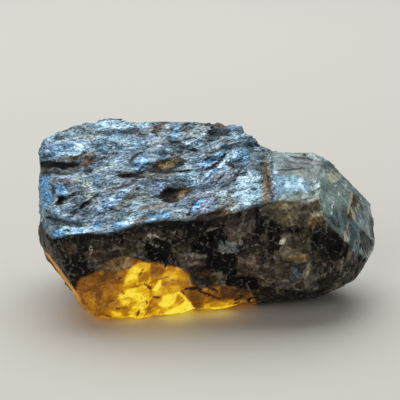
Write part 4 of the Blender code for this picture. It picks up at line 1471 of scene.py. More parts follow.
@dataclass(frozen=True)
class FlakeMosaic:
    """Small facets of different brightness with dark lines between some of them."""

    crack_width: float = 0.12
    drift_scale: float = 0.9
    drift_detail: float = 2.0
    level_slope: float = 0.4

    def build(self) -> bpy.types.NodeTree:
        """Makes the node group.

        Returns:
            The group.
        """
        group = Group(
            "flake mosaic",
            (("Vector", Kind.VECTOR, None), ("Scale", Kind.NUMBER, 1.0), ("Wander", Kind.NUMBER, 0.2)),
            (("Facet", Kind.NUMBER), ("Crack", Kind.NUMBER), ("Height", Kind.NUMBER)),
        )
        tree, graph, given, result = group.make()
        drift = graph.add(
            "ShaderNodeTexNoise",
            {"Vector": given.outputs["Vector"], "Scale": self.drift_scale, "Detail": self.drift_detail},
        ).outputs["Color"]
        shifted = graph.add("ShaderNodeVectorMath", operation="ADD")
        graph.fill(shifted, (0, 1), (given.outputs["Vector"], drift))
        moved = graph.add("ShaderNodeMix", data_type="VECTOR")
        ends = (given.outputs["Wander"], given.outputs["Vector"], shifted.outputs[0])
        graph.fill(moved, (0, 4, 5), ends)
        place = {"Vector": moved.outputs[1], "Scale": given.outputs["Scale"], "Randomness": 1.0}
        cells = graph.add("ShaderNodeTexVoronoi", place, feature="F1")
        edge = graph.add("ShaderNodeTexVoronoi", place, feature="DISTANCE_TO_EDGE")
        facet = graph.parts(cells.outputs["Color"])
        crack = graph.ramp(edge.outputs["Distance"], 0.0, self.crack_width, 1.0, 0.0)
        graph.feed(result.inputs["Facet"], facet[0])
        graph.feed(result.inputs["Crack"], graph.times(crack, facet[1]))
        lean = graph.maths("SUBTRACT", facet[2], self.level_slope)
        slope = graph.times(cells.outputs["Distance"], lean)
        graph.feed(result.inputs["Height"], slope)
        return tree


@dataclass(frozen=True)
class FineGrain:
    """Fine speckle and short scratches that break up every surface of the stone."""

    speckle: float = 4.0
    rough: float = 0.6

    def build(self) -> bpy.types.NodeTree:
        """Makes the node group.

        Returns:
            The group.
        """
        group = Group(
            "fine grain",
            (("Vector", Kind.VECTOR, None), ("Scale", Kind.NUMBER, 1.0)),
            (("Speckle", Kind.NUMBER), ("Streak", Kind.NUMBER)),
        )
        tree, graph, given, result = group.make()
        scale = graph.times(given.outputs["Scale"], self.speckle)
        for name, stretch, detail, low, high in (
            ("Speckle", (1.0, 0.55, 1.0), 1.5, 0.36, 0.64),
            ("Streak", (0.35, 2.4, 1.6), 2.0, 0.35, 0.65),
        ):
            place = graph.stretched(given.outputs["Vector"], stretch)
            noisy = {"Vector": place, "Scale": scale, "Detail": detail, "Roughness": self.rough}
            dots = graph.add("ShaderNodeTexNoise", noisy)
            graph.feed(result.inputs[name], graph.ramp(dots.outputs[0], low, high))
        return tree


@dataclass(frozen=True)
class BrokenCrystal:
    """The finish of the stone: bright broken flakes, smoky glass and the lit foot."""

    mosaic: bpy.types.NodeTree
    grain: bpy.types.NodeTree
    name: str = "broken crystal"
    fine_scale: float = 2.7
    roof_shares: tuple[float, ...] = (0.2, 0.2, 0.35, 0.35, 0.9)
    side_shares: tuple[float, ...] = (0.5, 0.7, 0.35, 0.0, 0.35)
    levels: tuple[float, float] = (0.3, 1.7)
    top_light: tuple[float, ...] = (0.5, 1.6, 0.2, 1.85)
    side_contrast: float = 3.4
    clear_light: tuple[float, float] = (0.6, 1.45)
    lit_light: tuple[float, float] = (0.8, 1.18)
    hollow_light: float = 0.35
    edge_light: float = 0.4
    crack_light: float = 0.22
    fine_crack: float = 0.5
    crack_glint_amount: float = 0.75
    crack_glint_colour: tuple[float, ...] = (0.26, 0.23, 0.2, 1.0)
    ridge_amount: float = 0.5
    ridge_colour: tuple[float, ...] = (0.5, 0.58, 0.56, 1.0)
    glint_colour: tuple[float, ...] = (0.72, 0.84, 0.95, 1.0)
    stain_amount: float = 0.4
    stain_colour: tuple[float, ...] = (0.13, 0.085, 0.055, 1.0)
    bump_strength: float = 0.55
    bump_depth: float = 0.22
    base_gloss: float = 0.12
    coat_index: float = 1.9
    coat_rough: float = 0.18

    def build(self) -> bpy.types.Material:
        """Makes the material.

        Returns:
            The finished material.
        """
        material = bpy.data.materials.new(self.name)
        material.use_nodes = True
        tree = material.node_tree
        tree.nodes.clear()
        graph = Graph(tree)
        shine, glow, top = graph.parts(graph.attribute("finish", "Vector"))
        hollow, edge, facet = graph.parts(graph.attribute("relief", "Vector"))
        along = graph.attribute("grain", "Vector")
        sheet, clear, _ = graph.parts(graph.attribute("sheets", "Vector"))
        coarse = self.patterned(graph, along, 1.0)
        fine = self.patterned(graph, along, self.fine_scale)
        speckle = graph.add("ShaderNodeGroup", {}, node_tree=self.grain)
        graph.feed(speckle.inputs["Vector"], along)
        stripe, speck = speckle.outputs["Streak"], speckle.outputs["Speckle"]
        some_facets = graph.ramp(coarse["Facet"], 0.3, 0.8)

        patterns = (facet, coarse["Facet"], fine["Facet"], stripe, speck)
        side_level = graph.weighted(patterns, self.side_shares)
        level = graph.between(top, side_level, graph.weighted(patterns, self.roof_shares))
        side_light = graph.maths("POWER", self.side_contrast, graph.ramp(level, *self.levels, -1.0, 1.0))
        clear_light = graph.ramp(level, *self.levels, *self.clear_light)
        light = graph.between(clear, side_light, clear_light)
        light = graph.between(top, light, graph.ramp(level, *self.top_light))
        # Painted shade in hollows and painted highlight on edges: light is lowered where the relief is hollow
        # and raised where it is an edge.
        light = graph.times(light, graph.ramp(hollow, 0.0, 1.0, 1.0, self.hollow_light))
        light = graph.maths("MULTIPLY_ADD", graph.times(edge, light), self.edge_light, light)
        cracked = graph.maths("MAXIMUM", coarse["Crack"], graph.times(fine["Crack"], self.fine_crack))
        cracked = graph.times(cracked, graph.ramp(stripe, 0.3, 0.7))
        light = graph.times(light, graph.ramp(cracked, 0.2, 0.7, 1.0, self.crack_light))
        bright = graph.add("ShaderNodeCombineColor", {"Red": light, "Green": light, "Blue": light})
        colour = graph.blend(1.0, graph.attribute("tone"), bright.outputs[0], "MULTIPLY")

        # Painted highlight: pale lines along coarse cracks on the sides, where the edges of cracks catch the
        # light.
        seam = graph.times(coarse["Crack"], graph.ramp(speck, 0.5, 0.8))
        seam = graph.times(seam, graph.between(top, self.crack_glint_amount, 0.0))
        # Painted highlight: a pale green-grey along the convex edges of the glassy faces.
        ridge = graph.times(graph.times(edge, clear), self.ridge_amount)
        glint = graph.times(graph.ramp(fine["Facet"], 0.8, 0.92), graph.ramp(shine, 0.2, 0.8))
        glint = graph.times(glint, some_facets)
        warm = {"Vector": along, "Scale": 0.8, "Detail": 4.0, "Roughness": 0.65}
        stain = graph.add("ShaderNodeTexNoise", warm).outputs[0]
        stain = graph.times(graph.ramp(stain, 0.58, 0.72, 0.0, self.stain_amount), top)
        for share, paint in (
            (seam, self.crack_glint_colour),
            (ridge, self.ridge_colour),
            (glint, self.glint_colour),
            (stain, self.stain_colour),
        ):
            colour = graph.blend(share, colour, paint)

        lit = graph.times(glow, graph.ramp(level, *self.levels, *self.lit_light))
        lit = graph.times(lit, graph.ramp(cracked, 0.4, 0.9, 1.0, 0.6))
        height = graph.maths("MULTIPLY_ADD", fine["Height"], 0.5, coarse["Height"])
        height = graph.maths("MULTIPLY_ADD", stripe, 0.25, height)
        height = graph.maths("MULTIPLY_ADD", speck, 0.12, height)
        uneven = {"Strength": self.bump_strength, "Distance": self.bump_depth * MM, "Height": height}
        rough = graph.maths("MULTIPLY_ADD", speck, 0.2, graph.between(top, 0.2, 0.3))
        shader = graph.add(
            "ShaderNodeBsdfPrincipled",
            {
                "Base Color": colour,
                "Metallic": graph.times(shine, graph.ramp(fine["Facet"], 0.2, 0.9, 0.25, 0.85)),
                "Roughness": rough,
                "Coat Weight": graph.times(sheet, some_facets),
                "Normal": graph.add("ShaderNodeBump", uneven).outputs[0],
                # Painted glow: emission colour that stands in for light passing through the foot from below.
                "Emission Color": self.flame(graph, lit),
                "Emission Strength": 1.0,
                "Specular IOR Level": self.base_gloss,
                "Coat IOR": self.coat_index,
                "Coat Roughness": self.coat_rough,
            },
        )
        finish = graph.add("ShaderNodeOutputMaterial")
        tree.links.new(shader.outputs[0], finish.inputs["Surface"])
        return material

    def flame(self, graph: Graph, lit: bpy.types.NodeSocket) -> bpy.types.NodeSocket:
        """The colour that the lit foot takes as it grows brighter.

        Args:
            graph: The material's graph.
            lit: How brightly it is lit.

        Returns:
            The colour.
        """
        node = graph.add("ShaderNodeValToRGB", {"Fac": lit})
        while len(node.color_ramp.elements) < len(FLAME):
            node.color_ramp.elements.new(0.5)
        for element, (place, paint) in zip(node.color_ramp.elements, FLAME):
            element.position, element.color = place, (*paint, 1.0)
        return node.outputs[0]

    def patterned(self, graph: Graph, place: object, scale: float) -> dict:
        """The flake mosaic at a size.

        Args:
            graph: The material's graph.
            place: The coordinates it follows.
            scale: How many times finer it is.

        Returns:
            Its outputs by name.
        """
        node = graph.add("ShaderNodeGroup", {}, node_tree=self.mosaic)
        graph.feed(node.inputs["Vector"], place)
        graph.feed(node.inputs["Scale"], scale)
        return {socket.name: socket for socket in node.outputs}


def relief(skin: Skin, normals: np.ndarray) -> tuple[np.ndarray, np.ndarray]:
    """How far each point of a skin lies in a hollow and how far on an edge, from 0 to 1; the material turns
    these into painted shade in hollows and painted highlight on edges.

    Args:
        skin: The skin.
        normals: Its normals.

    Returns:
        One number for each point's hollow, and one for its edge.
    """
    near = spread(skin.points, skin.edges, 6)
    far = spread(near, skin.edges, 40)
    fine = np.einsum("ij,ij->i", near - skin.points, normals)
    broad = np.einsum("ij,ij->i", far - skin.points, normals)
    hollow = smooth(0.02, 0.12, fine) * 0.45 + smooth(0.1, 0.6, broad) * 0.65
    return np.clip(hollow, 0.0, 1.0), smooth(0.02, 0.1, -fine)


def sides_of(points: np.ndarray, normals: np.ndarray) -> tuple:
    """The marks of each side of the stone, with how far each point belongs to the side.

    Args:
        points: Points in millimetres.
        normals: The way the stone faces at each point.

    Returns:
        For each side, one number for each point, then the side's patches or panes, then its lines.
    """
    zones = Zones(points)
    top = zones.top()
    facing = smooth(-0.2, 0.1, TOWARDS_TOP * normals[:, 2] - TOWARDS_FRONT * normals[:, 1])
    beyond_junction = np.maximum(top * smooth(9.0, 9.6, points[:, 0]), smooth(15.3, 16.0, points[:, 0]))
    return (
        (top, TOP_PANES, TOP_LINES),
        (zones.front(), FRONT_PATCHES + FRONT_PANES, FRONT_LINES),
        (facing * beyond_junction, END_PANES, END_LINES),
    )


def pressed(points: np.ndarray, normals: np.ndarray) -> np.ndarray:
    """How deep the marks of the stone press it in at each point, in millimetres.

    Args:
        points: Points in millimetres.
        normals: The way the stone faces at each point.

    Returns:
        One number for each point.
    """
    depth, picture = np.zeros(len(points)), pictured(points)
    for where, marks, lines in sides_of(points, normals):
        for mark in (mark for mark in marks if mark.depth):
            if isinstance(mark, Pane):
                out = smooth(-0.3, 0.05, beyond(mark.corners, picture))
            else:
                out = smooth(0.65, 1.05, oval(mark, picture))
            depth += where * mark.depth * (1.0 - out)
        for line in (line for line in lines if line.depth):
            away = reach_of(line.places, line.width, picture)
            depth += where * line.depth * (1.0 - smooth(0.3, 1.6, away))
    return depth


def over(tone: np.ndarray, paint: Tone, share: np.ndarray) -> np.ndarray:
    """A tone laid over what is there, by a share."""
    return tone + (paint.linear() - tone) * share[:, None]


@dataclass
class StonePaint:
    """The colours, shine, glow and relief of places on the stone."""

    points: np.ndarray
    normals: np.ndarray
    block: np.ndarray
    chip: np.ndarray
    hollow: np.ndarray
    edge: np.ndarray
    unlit: bool = False

    def tones(self, zones: Zones) -> np.ndarray:
        """The linear colour and shine of each place.

        Args:
            zones: Where each place lies on the stone.

        Returns:
            Four numbers for each place.
        """
        roof = zones.roof()
        # The blue-grey roof tone and the sheen and plum-grey swirls over it are painted sheen, the reflection
        # of a bluish sky laid into the colour of the broken top.
        tone = over(self.side_tones(zones), Tone.ROOF, roof)
        grain = grain_coordinates(self.points) * (0.6, 1.3, 1.0)
        for paint, seed, low, amount in (
            (Tone.SHEEN, Seed.SHEEN, 0.1, 0.55),
            (Tone.PLUM_GREY, Seed.PLUM_GREY, 0.1, 0.6),
            (Tone.CREAM, Seed.CREAM, 0.2, 0.5),
            (Tone.TAUPE, Seed.TAUPE, 0.3, 0.6),
            (Tone.TEAL_DARK, Seed.TEAL_DARK, 0.3, 0.6),
        ):
            tone = over(tone, paint, roof * smooth(low, low + 0.3, noise(grain, 2.6, seed)) * amount)
        for where, marks, lines in sides_of(self.points, self.normals):
            tone = self.marked(tone, where, marks, lines)
        # Painted shade: a band of ink just under the crest on the front, fading out towards the pointed end.
        crest_shade = zones.front() * smooth(-1.6, -0.9, zones.above_edges())
        crest_shade *= 1.0 - smooth(-1.0, 2.0, self.points[:, 0])
        return over(tone, Tone.INK, crest_shade * 0.85)

    def side_tones(self, zones: Zones) -> np.ndarray:
        """The dark glassy blocks of the sides, and the clear faces of the pointed end.

        Args:
            zones: Where each place lies on the stone.

        Returns:
            Four numbers for each place.
        """
        points = self.points
        tone = np.tile(Tone.INK.linear(), (len(points), 1))
        level = 0.72 * self.block + 0.28 * self.chip + 0.2 * noise(points, 5.0, Seed.SIDES)
        # Darker where the faces look downwards: painted shade.
        level += 0.2 * smooth(-6.0, 8.0, points[:, 0]) - 0.3 * smooth(0.3, 0.9, -self.normals[:, 2])
        for paint, low, amount in (
            (Tone.SMOKE, 0.3, 1.0),
            (Tone.MIST, 0.58, 0.65),
            (Tone.OLIVE, 0.8, 0.4),
            (Tone.ASH, 0.92, 0.5),
        ):
            tone = over(tone, paint, smooth(low, low + 0.05, level) * amount)
        clear = np.clip(zones.glassy(), 0.0, 1.0)
        tone = over(tone, Tone.GREEN_GLASS, clear)
        for paint, low, high in ((Tone.TEAL_GLASS, 0.3, 0.5), (Tone.ASH, 0.55, 0.7), (Tone.STEEL, 0.8, 0.95)):
            within = (self.block > low) & (self.block < high)
            tone = over(tone, paint, clear * within * 0.4)
        return tone

    def marked(self, tone: np.ndarray, where: np.ndarray, marks: tuple, lines: tuple) -> np.ndarray:
        """A side's patches, panes and lines laid over a tone.

        Args:
            tone: The linear colour and shine of each place.
            where: How far each place belongs to the side.
            marks: The patches and panes, in the order they are laid.
            lines: The lines laid over them.

        Returns:
            The tone with its marks.
        """
        coarse = 0.12 * noise(self.points, 1.2, Seed.MARK_EDGE) + 0.08 * (self.block - 0.5)
        fine = 0.14 * (self.chip - 0.5)
        picture = pictured(self.points)
        for mark in marks:
            if isinstance(mark, Pane):
                out = beyond(mark.corners, picture) + 0.8 * (coarse + fine)
                share = 1.0 - smooth(-mark.soft, mark.soft, out)
            else:
                reach = oval(mark, picture) + (0.5 * coarse if mark.boxy else coarse) + fine
                share = 1.0 - smooth(1.0 - mark.soft, 1.0 + mark.soft, reach)
            tone = over(tone, mark.tone, where * mark.amount * share)
        wander = 0.5 * noise(self.points, 0.8, Seed.LINE_EDGE, 2)
        for line in lines:
            away = reach_of(line.places, line.width, picture)
            tone = over(tone, line.tone, where * (1.0 - smooth(0.7, 1.3, away + wander)) * 0.92)
        return tone

    def glows(self, zones: Zones) -> np.ndarray:
        """How brightly each place is lit from inside.

        Args:
            zones: Where each place lies on the stone.

        Returns:
            One number for each place, from 0 to 1.1.
        """
        reach = np.linalg.norm((self.points - GLOW_MIDDLE) / GLOW_RADII, axis=1)
        chance = self.chip - 0.5
        ragged = 0.26 * noise(self.points, 1.6, Seed.LIT_EDGE) + 0.24 * chance
        uneven = 0.1 * (self.block - 0.5) + 0.16 * chance + 0.08 * noise(self.points, 1.1, Seed.LIT_LEVEL)
        glow = np.clip(1.2 - reach, 0.0, 0.85) * (1.0 + 2.0 * uneven)
        glow *= 1.0 - smooth(9.0, 11.5, self.points[:, 2] + 2.0 * ragged)
        front = zones.front(-2.0, -5.0)
        picture = pictured(self.points)
        inside = 1.0 - smooth(-0.3, 0.5, beyond(FOOT, picture) + 0.8 * ragged)
        glow = glow * (1.0 - front * (1.0 - inside)) + front * inside * np.maximum(0.5 - glow, 0.0)
        for part in LIT_PANES:
            out = beyond(part.corners, picture) + 0.4 * ragged
            share = front * LIT_COVER * (1.0 - smooth(-part.soft, part.soft, out))
            glow = glow + (part.light - glow) * share
        glow = np.clip(glow + front * uneven * smooth(0.2, 0.5, glow), 0.0, 1.1)
        for line in LIT_LINES:
            away = reach_of(line.places, line.width, picture)
            glow = glow + (line.light - glow) * front * (1.0 - smooth(0.7, 1.3, away))
        return glow

    def put_on(self, mesh: bpy.types.Mesh, corners: np.ndarray, owner: np.ndarray | None = None) -> None:
        """Writes everything to a mesh.

        Args:
            mesh: The mesh that gets the paint.
            corners: The mesh's points, in millimetres.
            owner: The place that each point belongs to, where these aren't the points themselves.
        """
        if owner is None:
            owner = np.arange(len(corners))
        zones = Zones(self.points)
        top, roof = zones.top(), zones.roof()
        tone = self.tones(zones)
        glow = self.glows(zones) * (0.0 if self.unlit else 1.0)
        # Under the painted glow the colour turns dark amber.
        tone = over(tone, Tone.AMBER, smooth(0.1, 0.4, glow))
        light = tone[:, :3].mean(axis=1)
        sheet = smooth(0.6, 0.95, self.chip) * 0.5 * smooth(0.006, 0.03, light)
        colour = np.ones((len(corners), 4))
        colour[:, :3] = tone[owner, :3]
        mesh.attributes.new("tone", "FLOAT_COLOR", "POINT").data.foreach_set("color", colour.ravel())
        clear = np.clip(zones.glassy(), 0.0, 1.0)
        ribbed = clear[owner, None] > 0.5
        sides = np.where(ribbed, corners * (0.8, 0.8, 0.3), corners * 0.6)
        along = grain_coordinates(corners) * (0.8, 1.6, 1.5)
        vectors = {
            "finish": np.stack([tone[:, 3], glow, roof], axis=1)[owner],
            "relief": np.stack([self.hollow, self.edge, self.chip], axis=1)[owner],
            "grain": np.where(roof[owner, None] > 0.5, along, sides),
            "sheets": np.stack([np.maximum(tone[:, 3], sheet), clear, top], axis=1)[owner],
        }
        for name, values in vectors.items():
            mesh.attributes.new(name, "FLOAT_VECTOR", "POINT").data.foreach_set("vector", values.ravel())


@dataclass
class ZirconBody:
    """The whole stone: the frame's skin with chips, facets and colours."""

    finish: bpy.types.Material
    voxel: float = 0.242
    chips: int = 2600
    stand_out: float = 0.1
    seed: int = 17
    sharp: float = 38.0
    sides: tuple[int, ...] = (4, 5, 5, 6)
    twist: float = 0.5
    root: float = 1.3
    lean: float = 0.05
    grain_stray: float = 0.14
    grain_lift: float = 0.3
    uphill: tuple[float, float] = (0.0, 0.12)
    slack: float = 0.22
    shrink: tuple[float, float] = (0.75, 0.75)
    low: float = 1.2
    steep: float = 0.85
    from_edge: float = 0.7
    end_from: float = 15.0
    foot: tuple[float, float, float] = (2.0, -4.0, 9.0)
    on_top: Sizes = Sizes((1.2, 4.0), (0.6, 1.6), (-0.04, 0.12))
    on_end: Cut = Cut((1.4, 4.0), (0.6, 1.5), (0.03, 0.14), (104, 96, 20), 8, 0.3)
    on_sides: Cut = Cut((1.2, 3.4), (0.8, 2.2), (0.03, 0.2), (0, 90, 35, 84), 7, 0.2)

    def chip_at(self, chooser: random.Random, tree: BVHTree, place: Vector, normal: Vector) -> Chip | None:
        """One chip for a place on the skin.

        Args:
            chooser: The source of chance.
            tree: The skin that carries it.
            place: Where it stands.
            normal: The skin's normal there.

        Returns:
            The chip, or nothing where it would stand out too far.
        """
        zones = Zones(np.array([place]))
        top, end = zones.top()[0] > 0.5, zones.end()[0] > 0.5
        if top and not end:
            turn = heading(place.x) + chooser.gauss(0.0, self.grain_stray)
            lift = self.grain_lift * chooser.uniform(-1, 1)
            lengthways = Vector((math.cos(turn), math.sin(turn), lift))
            length, width, proud = self.on_top.drawn(chooser)
            uphill = Vector((-math.sin(turn), math.cos(turn), 0.0))
            normal = normal + uphill * chooser.uniform(*self.uphill)
        else:
            cut = self.on_end if top or place.x > self.end_from else self.on_sides
            lengthways = cut.lengthways(chooser)
            length, width, proud = cut.drawn(chooser)
        right, front, level = self.foot
        in_foot = not top and place.z < level and place.x < right and place.y < front
        near_edge = top and zones.above_edges()[0] < self.from_edge
        steep = abs(lengthways.normalized().dot(normal)) > self.steep
        if in_foot or near_edge or place.z < self.low or steep:
            return None
        chip = Chip(
            place, leaned(normal, self.lean, chooser), lengthways, length, width, proud, self.root,
            chooser.choice(self.sides), chooser.uniform(-self.twist, self.twist),
        )
        return chip.fitted(tree, self.slack, self.shrink)

    def chipped(self, shell: bmesh.types.BMesh) -> bpy.types.Mesh:
        """The skin with every chip in place, all still separate shells.

        Args:
            shell: The copy of the frame's skin, which this uses up.

        Returns:
            A mesh in metres.
        """
        bmesh.ops.triangulate(shell, faces=shell.faces)
        chooser = random.Random(self.seed)
        tree = BVHTree.FromBMesh(shell)
        shell.faces.ensure_lookup_table()
        areas = np.cumsum([face.calc_area() for face in shell.faces])
        found = []
        while len(found) < self.chips:
            face = shell.faces[int(np.searchsorted(areas, chooser.random() * areas[-1]))]
            first, second = sorted((chooser.random(), chooser.random()))
            corners = [vertex.co for vertex in face.verts]
            place = corners[0] * first + corners[1] * (second - first) + corners[2] * (1 - second)
            found.append(self.chip_at(chooser, tree, place, face.normal.copy()))
        found = [chip for chip in found if chip]
        join_all(found, shell)
        bmesh.ops.scale(shell, vec=(MM,) * 3, verts=shell.verts)
        mesh = bpy.data.meshes.new("chipped")
        shell.to_mesh(mesh)
        shell.free()
        LOG.info("chips set: %d", len(found))
        return mesh

    def fused(self, mesh: bpy.types.Mesh) -> bpy.types.Mesh:
        """One closed skin around everything in a mesh.

        Args:
            mesh: The mesh, in metres, which this uses up.

        Returns:
            The new mesh.
        """
        bare = placed("bare", mesh)
        fuse = bare.modifiers.new("fuse", "REMESH")
        fuse.mode = "VOXEL"
        fuse.voxel_size = self.voxel * MM
        fused = modified(bare, "zircon_body")
        bpy.data.meshes.remove(mesh)
        return fused

    def split(self, mesh: bpy.types.Mesh) -> tuple[np.ndarray, np.ndarray]:
        """Presses in the marks of a skin and splits it into blocks, and those into chips.

        Args:
            mesh: The fused skin, which is changed.

        Returns:
            A number from 0 to 1 for each point's block, and one for its chip.
        """
        skin = Skin.of(mesh)
        normals = skin.normals()
        skin.points -= normals * pressed(skin.points, normals)[:, None]
        block, chip = BLOCKS.split(skin), CHIPS.split(skin)
        self.hold(skin)
        skin.points[:, 2] = np.maximum(skin.points[:, 2], 0.0)
        skin.write(mesh)
        return block, chip

    def hold(self, skin: Skin) -> None:
        """Draws in what stands out too far from the frame's skin, so the outline stays clean.

        Args:
            skin: The skin, whose points are moved.
        """
        shell = frame_shell()
        tree = BVHTree.FromBMesh(shell)
        shell.free()
        for i, point in enumerate(skin.points):
            place = Vector(point)
            near, normal, _, distance = tree.find_nearest(place)
            if (place - near).dot(normal) > 0 and distance > self.stand_out:
                skin.points[i] = near + (place - near) * (self.stand_out / distance)

    def build(self) -> bpy.types.Object:
        """Builds the stone.

        Returns:
            Its object, riding on its body.
        """
        mesh = self.fused(self.chipped(frame_shell()))
        block, chip = self.split(mesh)
        skin = Skin.of(mesh)
        normals = skin.normals()
        hollow, edge = relief(skin, normals)
        StonePaint(skin.points, normals, block, chip, hollow, edge).put_on(mesh, skin.points)
        mesh.materials.append(self.finish)
        mesh.shade_smooth()
        mesh.set_sharp_from_angle(angle=math.radians(self.sharp))
        piece = placed("zircon_body", mesh)
        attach(piece, BODY)
        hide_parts(NODE)
        LOG.info("zircon_body: %d triangles", len(skin.triangles))
        return piece


@dataclass
class ZirconFlakes:
    """Thin crisp flakes that lie on the broken top, and panes on the sides."""

    finish: bpy.types.Material
    body: bpy.types.Object
    flakes: int = 3500
    seed: int = 23
    sides: tuple[int, ...] = (4, 5, 6)
    twist: float = 0.4
    root: float = 0.4
    lean: float = 0.05
    top_lean: float = 0.06
    grain_stray: float = 0.2
    uphill: tuple[float, float] = (-0.1, 0.15)
    slack: float = 0.08
    shrink: tuple[float, float] = (0.7, 0.8)
    low: float = 1.0
    steep: float = 0.8
    edge_gap: tuple[float, float] = (-0.8, 0.7)
    end_from: float = 14.0
    foot_right: float = 4.0
    foot_level: float = 9.0
    lobe_right: float = -7.0
    lobe_level: float = 10.8
    on_top: Sizes = Sizes((0.4, 1.8), (0.25, 0.8), (0.01, 0.05))
    on_end: Cut = Cut((0.8, 3.0), (0.3, 0.8), (0.01, 0.06), (104, 98, 92), 6, 0.3)
    on_sides: Cut = Cut((0.6, 2.2), (0.4, 1.4), (0.01, 0.07), (0, 90, 35, 84), 6, 0.2)

    def flake_at(
        self,
        chooser: random.Random,
        tree: BVHTree,
        place: Vector,
        normal: Vector,
        top: bool,
        end: bool,
        grain: float,
    ) -> Chip | None:
        """One flake for a place on the stone.

        Args:
            chooser: The source of chance.
            tree: The skin that carries it.
            place: Where it lies.
            normal: The skin's evened normal there.
            top: Whether the place is on the top.
            end: Whether it is on the pointed end.
            grain: The heading of the grain there, in radians.

        Returns:
            The flake, or nothing where there is no room for it.
        """
        lean = self.lean
        if top and not end:
            turn = grain + chooser.gauss(0.0, self.grain_stray)
            uphill = Vector((-math.sin(turn), math.cos(turn), 0.0))
            lengthways = Vector((math.cos(turn), math.sin(turn), 0.0))
            length, width, proud = self.on_top.drawn(chooser)
            lean = self.top_lean
            normal = normal + uphill * chooser.uniform(*self.uphill)
        else:
            cut = self.on_end if top or place.x > self.end_from else self.on_sides
            lengthways = cut.lengthways(chooser)
            length, width, proud = cut.drawn(chooser)
        level = self.lobe_level if place.x < self.lobe_right else self.foot_level
        in_foot = not top and place.z < level and place.x < self.foot_right
        steep = abs(lengthways.normalized().dot(normal.normalized())) > self.steep
        if in_foot or place.z < self.low or steep:
            return None
        flake = Chip(
            place, leaned(normal, lean, chooser), lengthways, length, width, proud, self.root,
            chooser.choice(self.sides), chooser.uniform(-self.twist, self.twist),
        )
        return flake.fitted(tree, self.slack, self.shrink)

    def build(self) -> bpy.types.Object:
        """Builds the flakes.

        Returns:
            Their object, riding on its body.
        """
        skin = Skin.of(self.body.data)
        tree = BVHTree.FromPolygons(skin.points.tolist(), skin.triangles.tolist())
        outward = skin.normals()
        normals = spread(outward, skin.edges, 8)
        hollow, _ = relief(skin, outward)
        corners = skin.points[skin.triangles]
        areas = areas_of(corners)
        dice = np.random.default_rng(self.seed)
        owners = dice.choice(len(areas), self.flakes, p=areas / areas.sum())
        places = corners[owners].mean(axis=1)
        zones = Zones(places)
        tops, ends, above = zones.top() > 0.5, zones.end() > 0.5, zones.above_edges()
        turns = heading(places[:, 0]) + swirl(places)
        chooser = random.Random(self.seed)
        kept, made = [], []
        for i, place in enumerate(places):
            normal = Vector(normals[skin.triangles[owners[i], 0]])
            flake = self.flake_at(chooser, tree, Vector(place), normal, tops[i], ends[i], turns[i])
            if flake and not self.edge_gap[0] < above[i] < self.edge_gap[1]:
                kept.append(i)
                made.append(flake)
        whole = bmesh.new()
        join_all(made, whole)
        bmesh.ops.triangulate(whole, faces=whole.faces)
        bmesh.ops.scale(whole, vec=(MM,) * 3, verts=whole.verts)
        mesh = bpy.data.meshes.new("zircon_flakes")
        whole.to_mesh(mesh)
        whole.free()
        owner = np.repeat(np.arange(len(made)), [2 * flake.sides for flake in made])
        facing = np.array([flake.normal for flake in made])
        shade = hollow[skin.triangles[owners[kept], 0]] * 0.6
        block, chip = dice.random(len(made)), dice.random(len(made))
        paint = StonePaint(places[kept], facing, block, chip, shade, shade * 0.0, unlit=True)
        paint.put_on(mesh, Skin.of(mesh).points, owner)
        mesh.materials.append(self.finish)
        piece = placed("zircon_flakes", mesh)
        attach(piece, BODY)
        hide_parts(NODE)
        LOG.info("zircon_flakes: %d flakes, %d triangles", len(made), len(mesh.polygons))
        return piece


@dataclass(frozen=True)
class Softbox:
    """A soft rectangular light that faces the stone: its place and size in metres, its power in watts."""

    name: str
    place: tuple[float, float, float]
    size: tuple[float, float]
    power: float
    colour: tuple[float, float, float]
    target: tuple[float, float, float] = (0.0, 0.0, 0.012)

    def build(self) -> None:
        """Puts the light in the scene."""
        light = bpy.data.lights.new(self.name, "AREA")
        light.shape = "RECTANGLE"
        light.size, light.size_y = self.size
        light.energy = self.power
        light.color = self.colour
        holder = bpy.data.objects.new(self.name, light)
        bpy.context.scene.collection.objects.link(holder)
        holder.location = self.place
        towards = Vector(self.target) - Vector(self.place)
        holder.rotation_euler = towards.to_track_quat("-Z", "Y").to_euler()


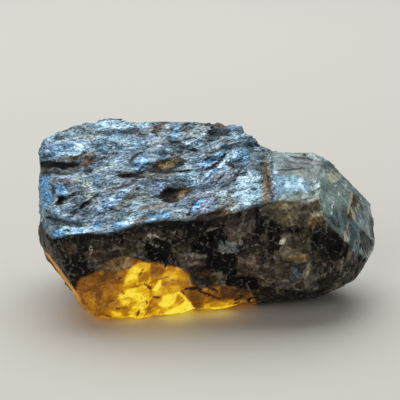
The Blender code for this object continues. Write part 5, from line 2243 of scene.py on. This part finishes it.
@dataclass
class Studio:
    """The floor, the lights and the camera."""

    floor_colour: tuple[float, float, float] = (0.66, 0.61, 0.54)
    floor_radius: float = 3.0
    air_colour: tuple[float, ...] = (0.80, 0.84, 0.90, 1.0)
    air_strength: float = 0.22
    panels: tuple[Softbox, ...] = (
        Softbox("sky panel", (-0.05, 0.26, 0.62), (0.8, 0.6), 5.2, (0.88, 0.95, 1.0)),
        Softbox("fill panel", (-0.4, -0.5, 0.42), (0.5, 0.4), 1.3, (1.0, 0.95, 0.88)),
    )

    def floor(self) -> bpy.types.Object:
        """A wide pale floor that isn't seen from below.

        Returns:
            The floor's object.
        """
        shell = bmesh.new()
        bmesh.ops.create_circle(shell, cap_ends=True, segments=64, radius=self.floor_radius)
        mesh = bpy.data.meshes.new("floor")
        shell.to_mesh(mesh)
        shell.free()
        material = bpy.data.materials.new("floor")
        material.use_nodes = True
        tree = material.node_tree
        graph = Graph(tree)
        tree.nodes.clear()
        paint = graph.add("ShaderNodeBsdfDiffuse", {"Color": (*self.floor_colour, 1.0)})
        clear = graph.add("ShaderNodeBsdfTransparent")
        side = graph.add("ShaderNodeNewGeometry")
        both = graph.add("ShaderNodeMixShader", {"Fac": side.outputs["Backfacing"]})
        tree.links.new(paint.outputs[0], both.inputs[1])
        tree.links.new(clear.outputs[0], both.inputs[2])
        finish = graph.add("ShaderNodeOutputMaterial")
        tree.links.new(both.outputs[0], finish.inputs["Surface"])
        mesh.materials.append(material)
        ground = placed("floor", mesh)
        return ground

    def build(self) -> None:
        """Builds the studio and sets the scene's camera."""
        scene = bpy.context.scene
        scene.view_settings.view_transform = "Standard"
        world = bpy.data.worlds.new("studio air")
        world.use_nodes = True
        air = world.node_tree.nodes["Background"]
        air.inputs["Color"].default_value = self.air_colour
        air.inputs["Strength"].default_value = self.air_strength
        scene.world = world
        self.floor()
        for panel in self.panels:
            panel.build()
        camera = bpy.data.cameras.new("camera")
        camera.lens = LENS
        camera.sensor_width = SENSOR
        camera.clip_start = 0.005
        holder = bpy.data.objects.new("camera", camera)
        scene.collection.objects.link(holder)
        turn = math.radians(ELEVATION)
        back = Vector((0.0, -math.cos(turn), math.sin(turn)))
        holder.location = (Vector(AIM) + back * AWAY) * MM
        holder.rotation_euler = (-back).to_track_quat("-Z", "Y").to_euler()
        scene.camera = holder


def main() -> None:
    """Builds the studio and the stone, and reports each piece."""
    logging.basicConfig(level=logging.INFO, format="%(name)s: %(message)s")
    Studio().build()
    finish = BrokenCrystal(FlakeMosaic().build(), FineGrain().build()).build()
    body = ZirconBody(finish).build()
    ZirconFlakes(finish, body).build()


if __name__ == "__main__":
    main()
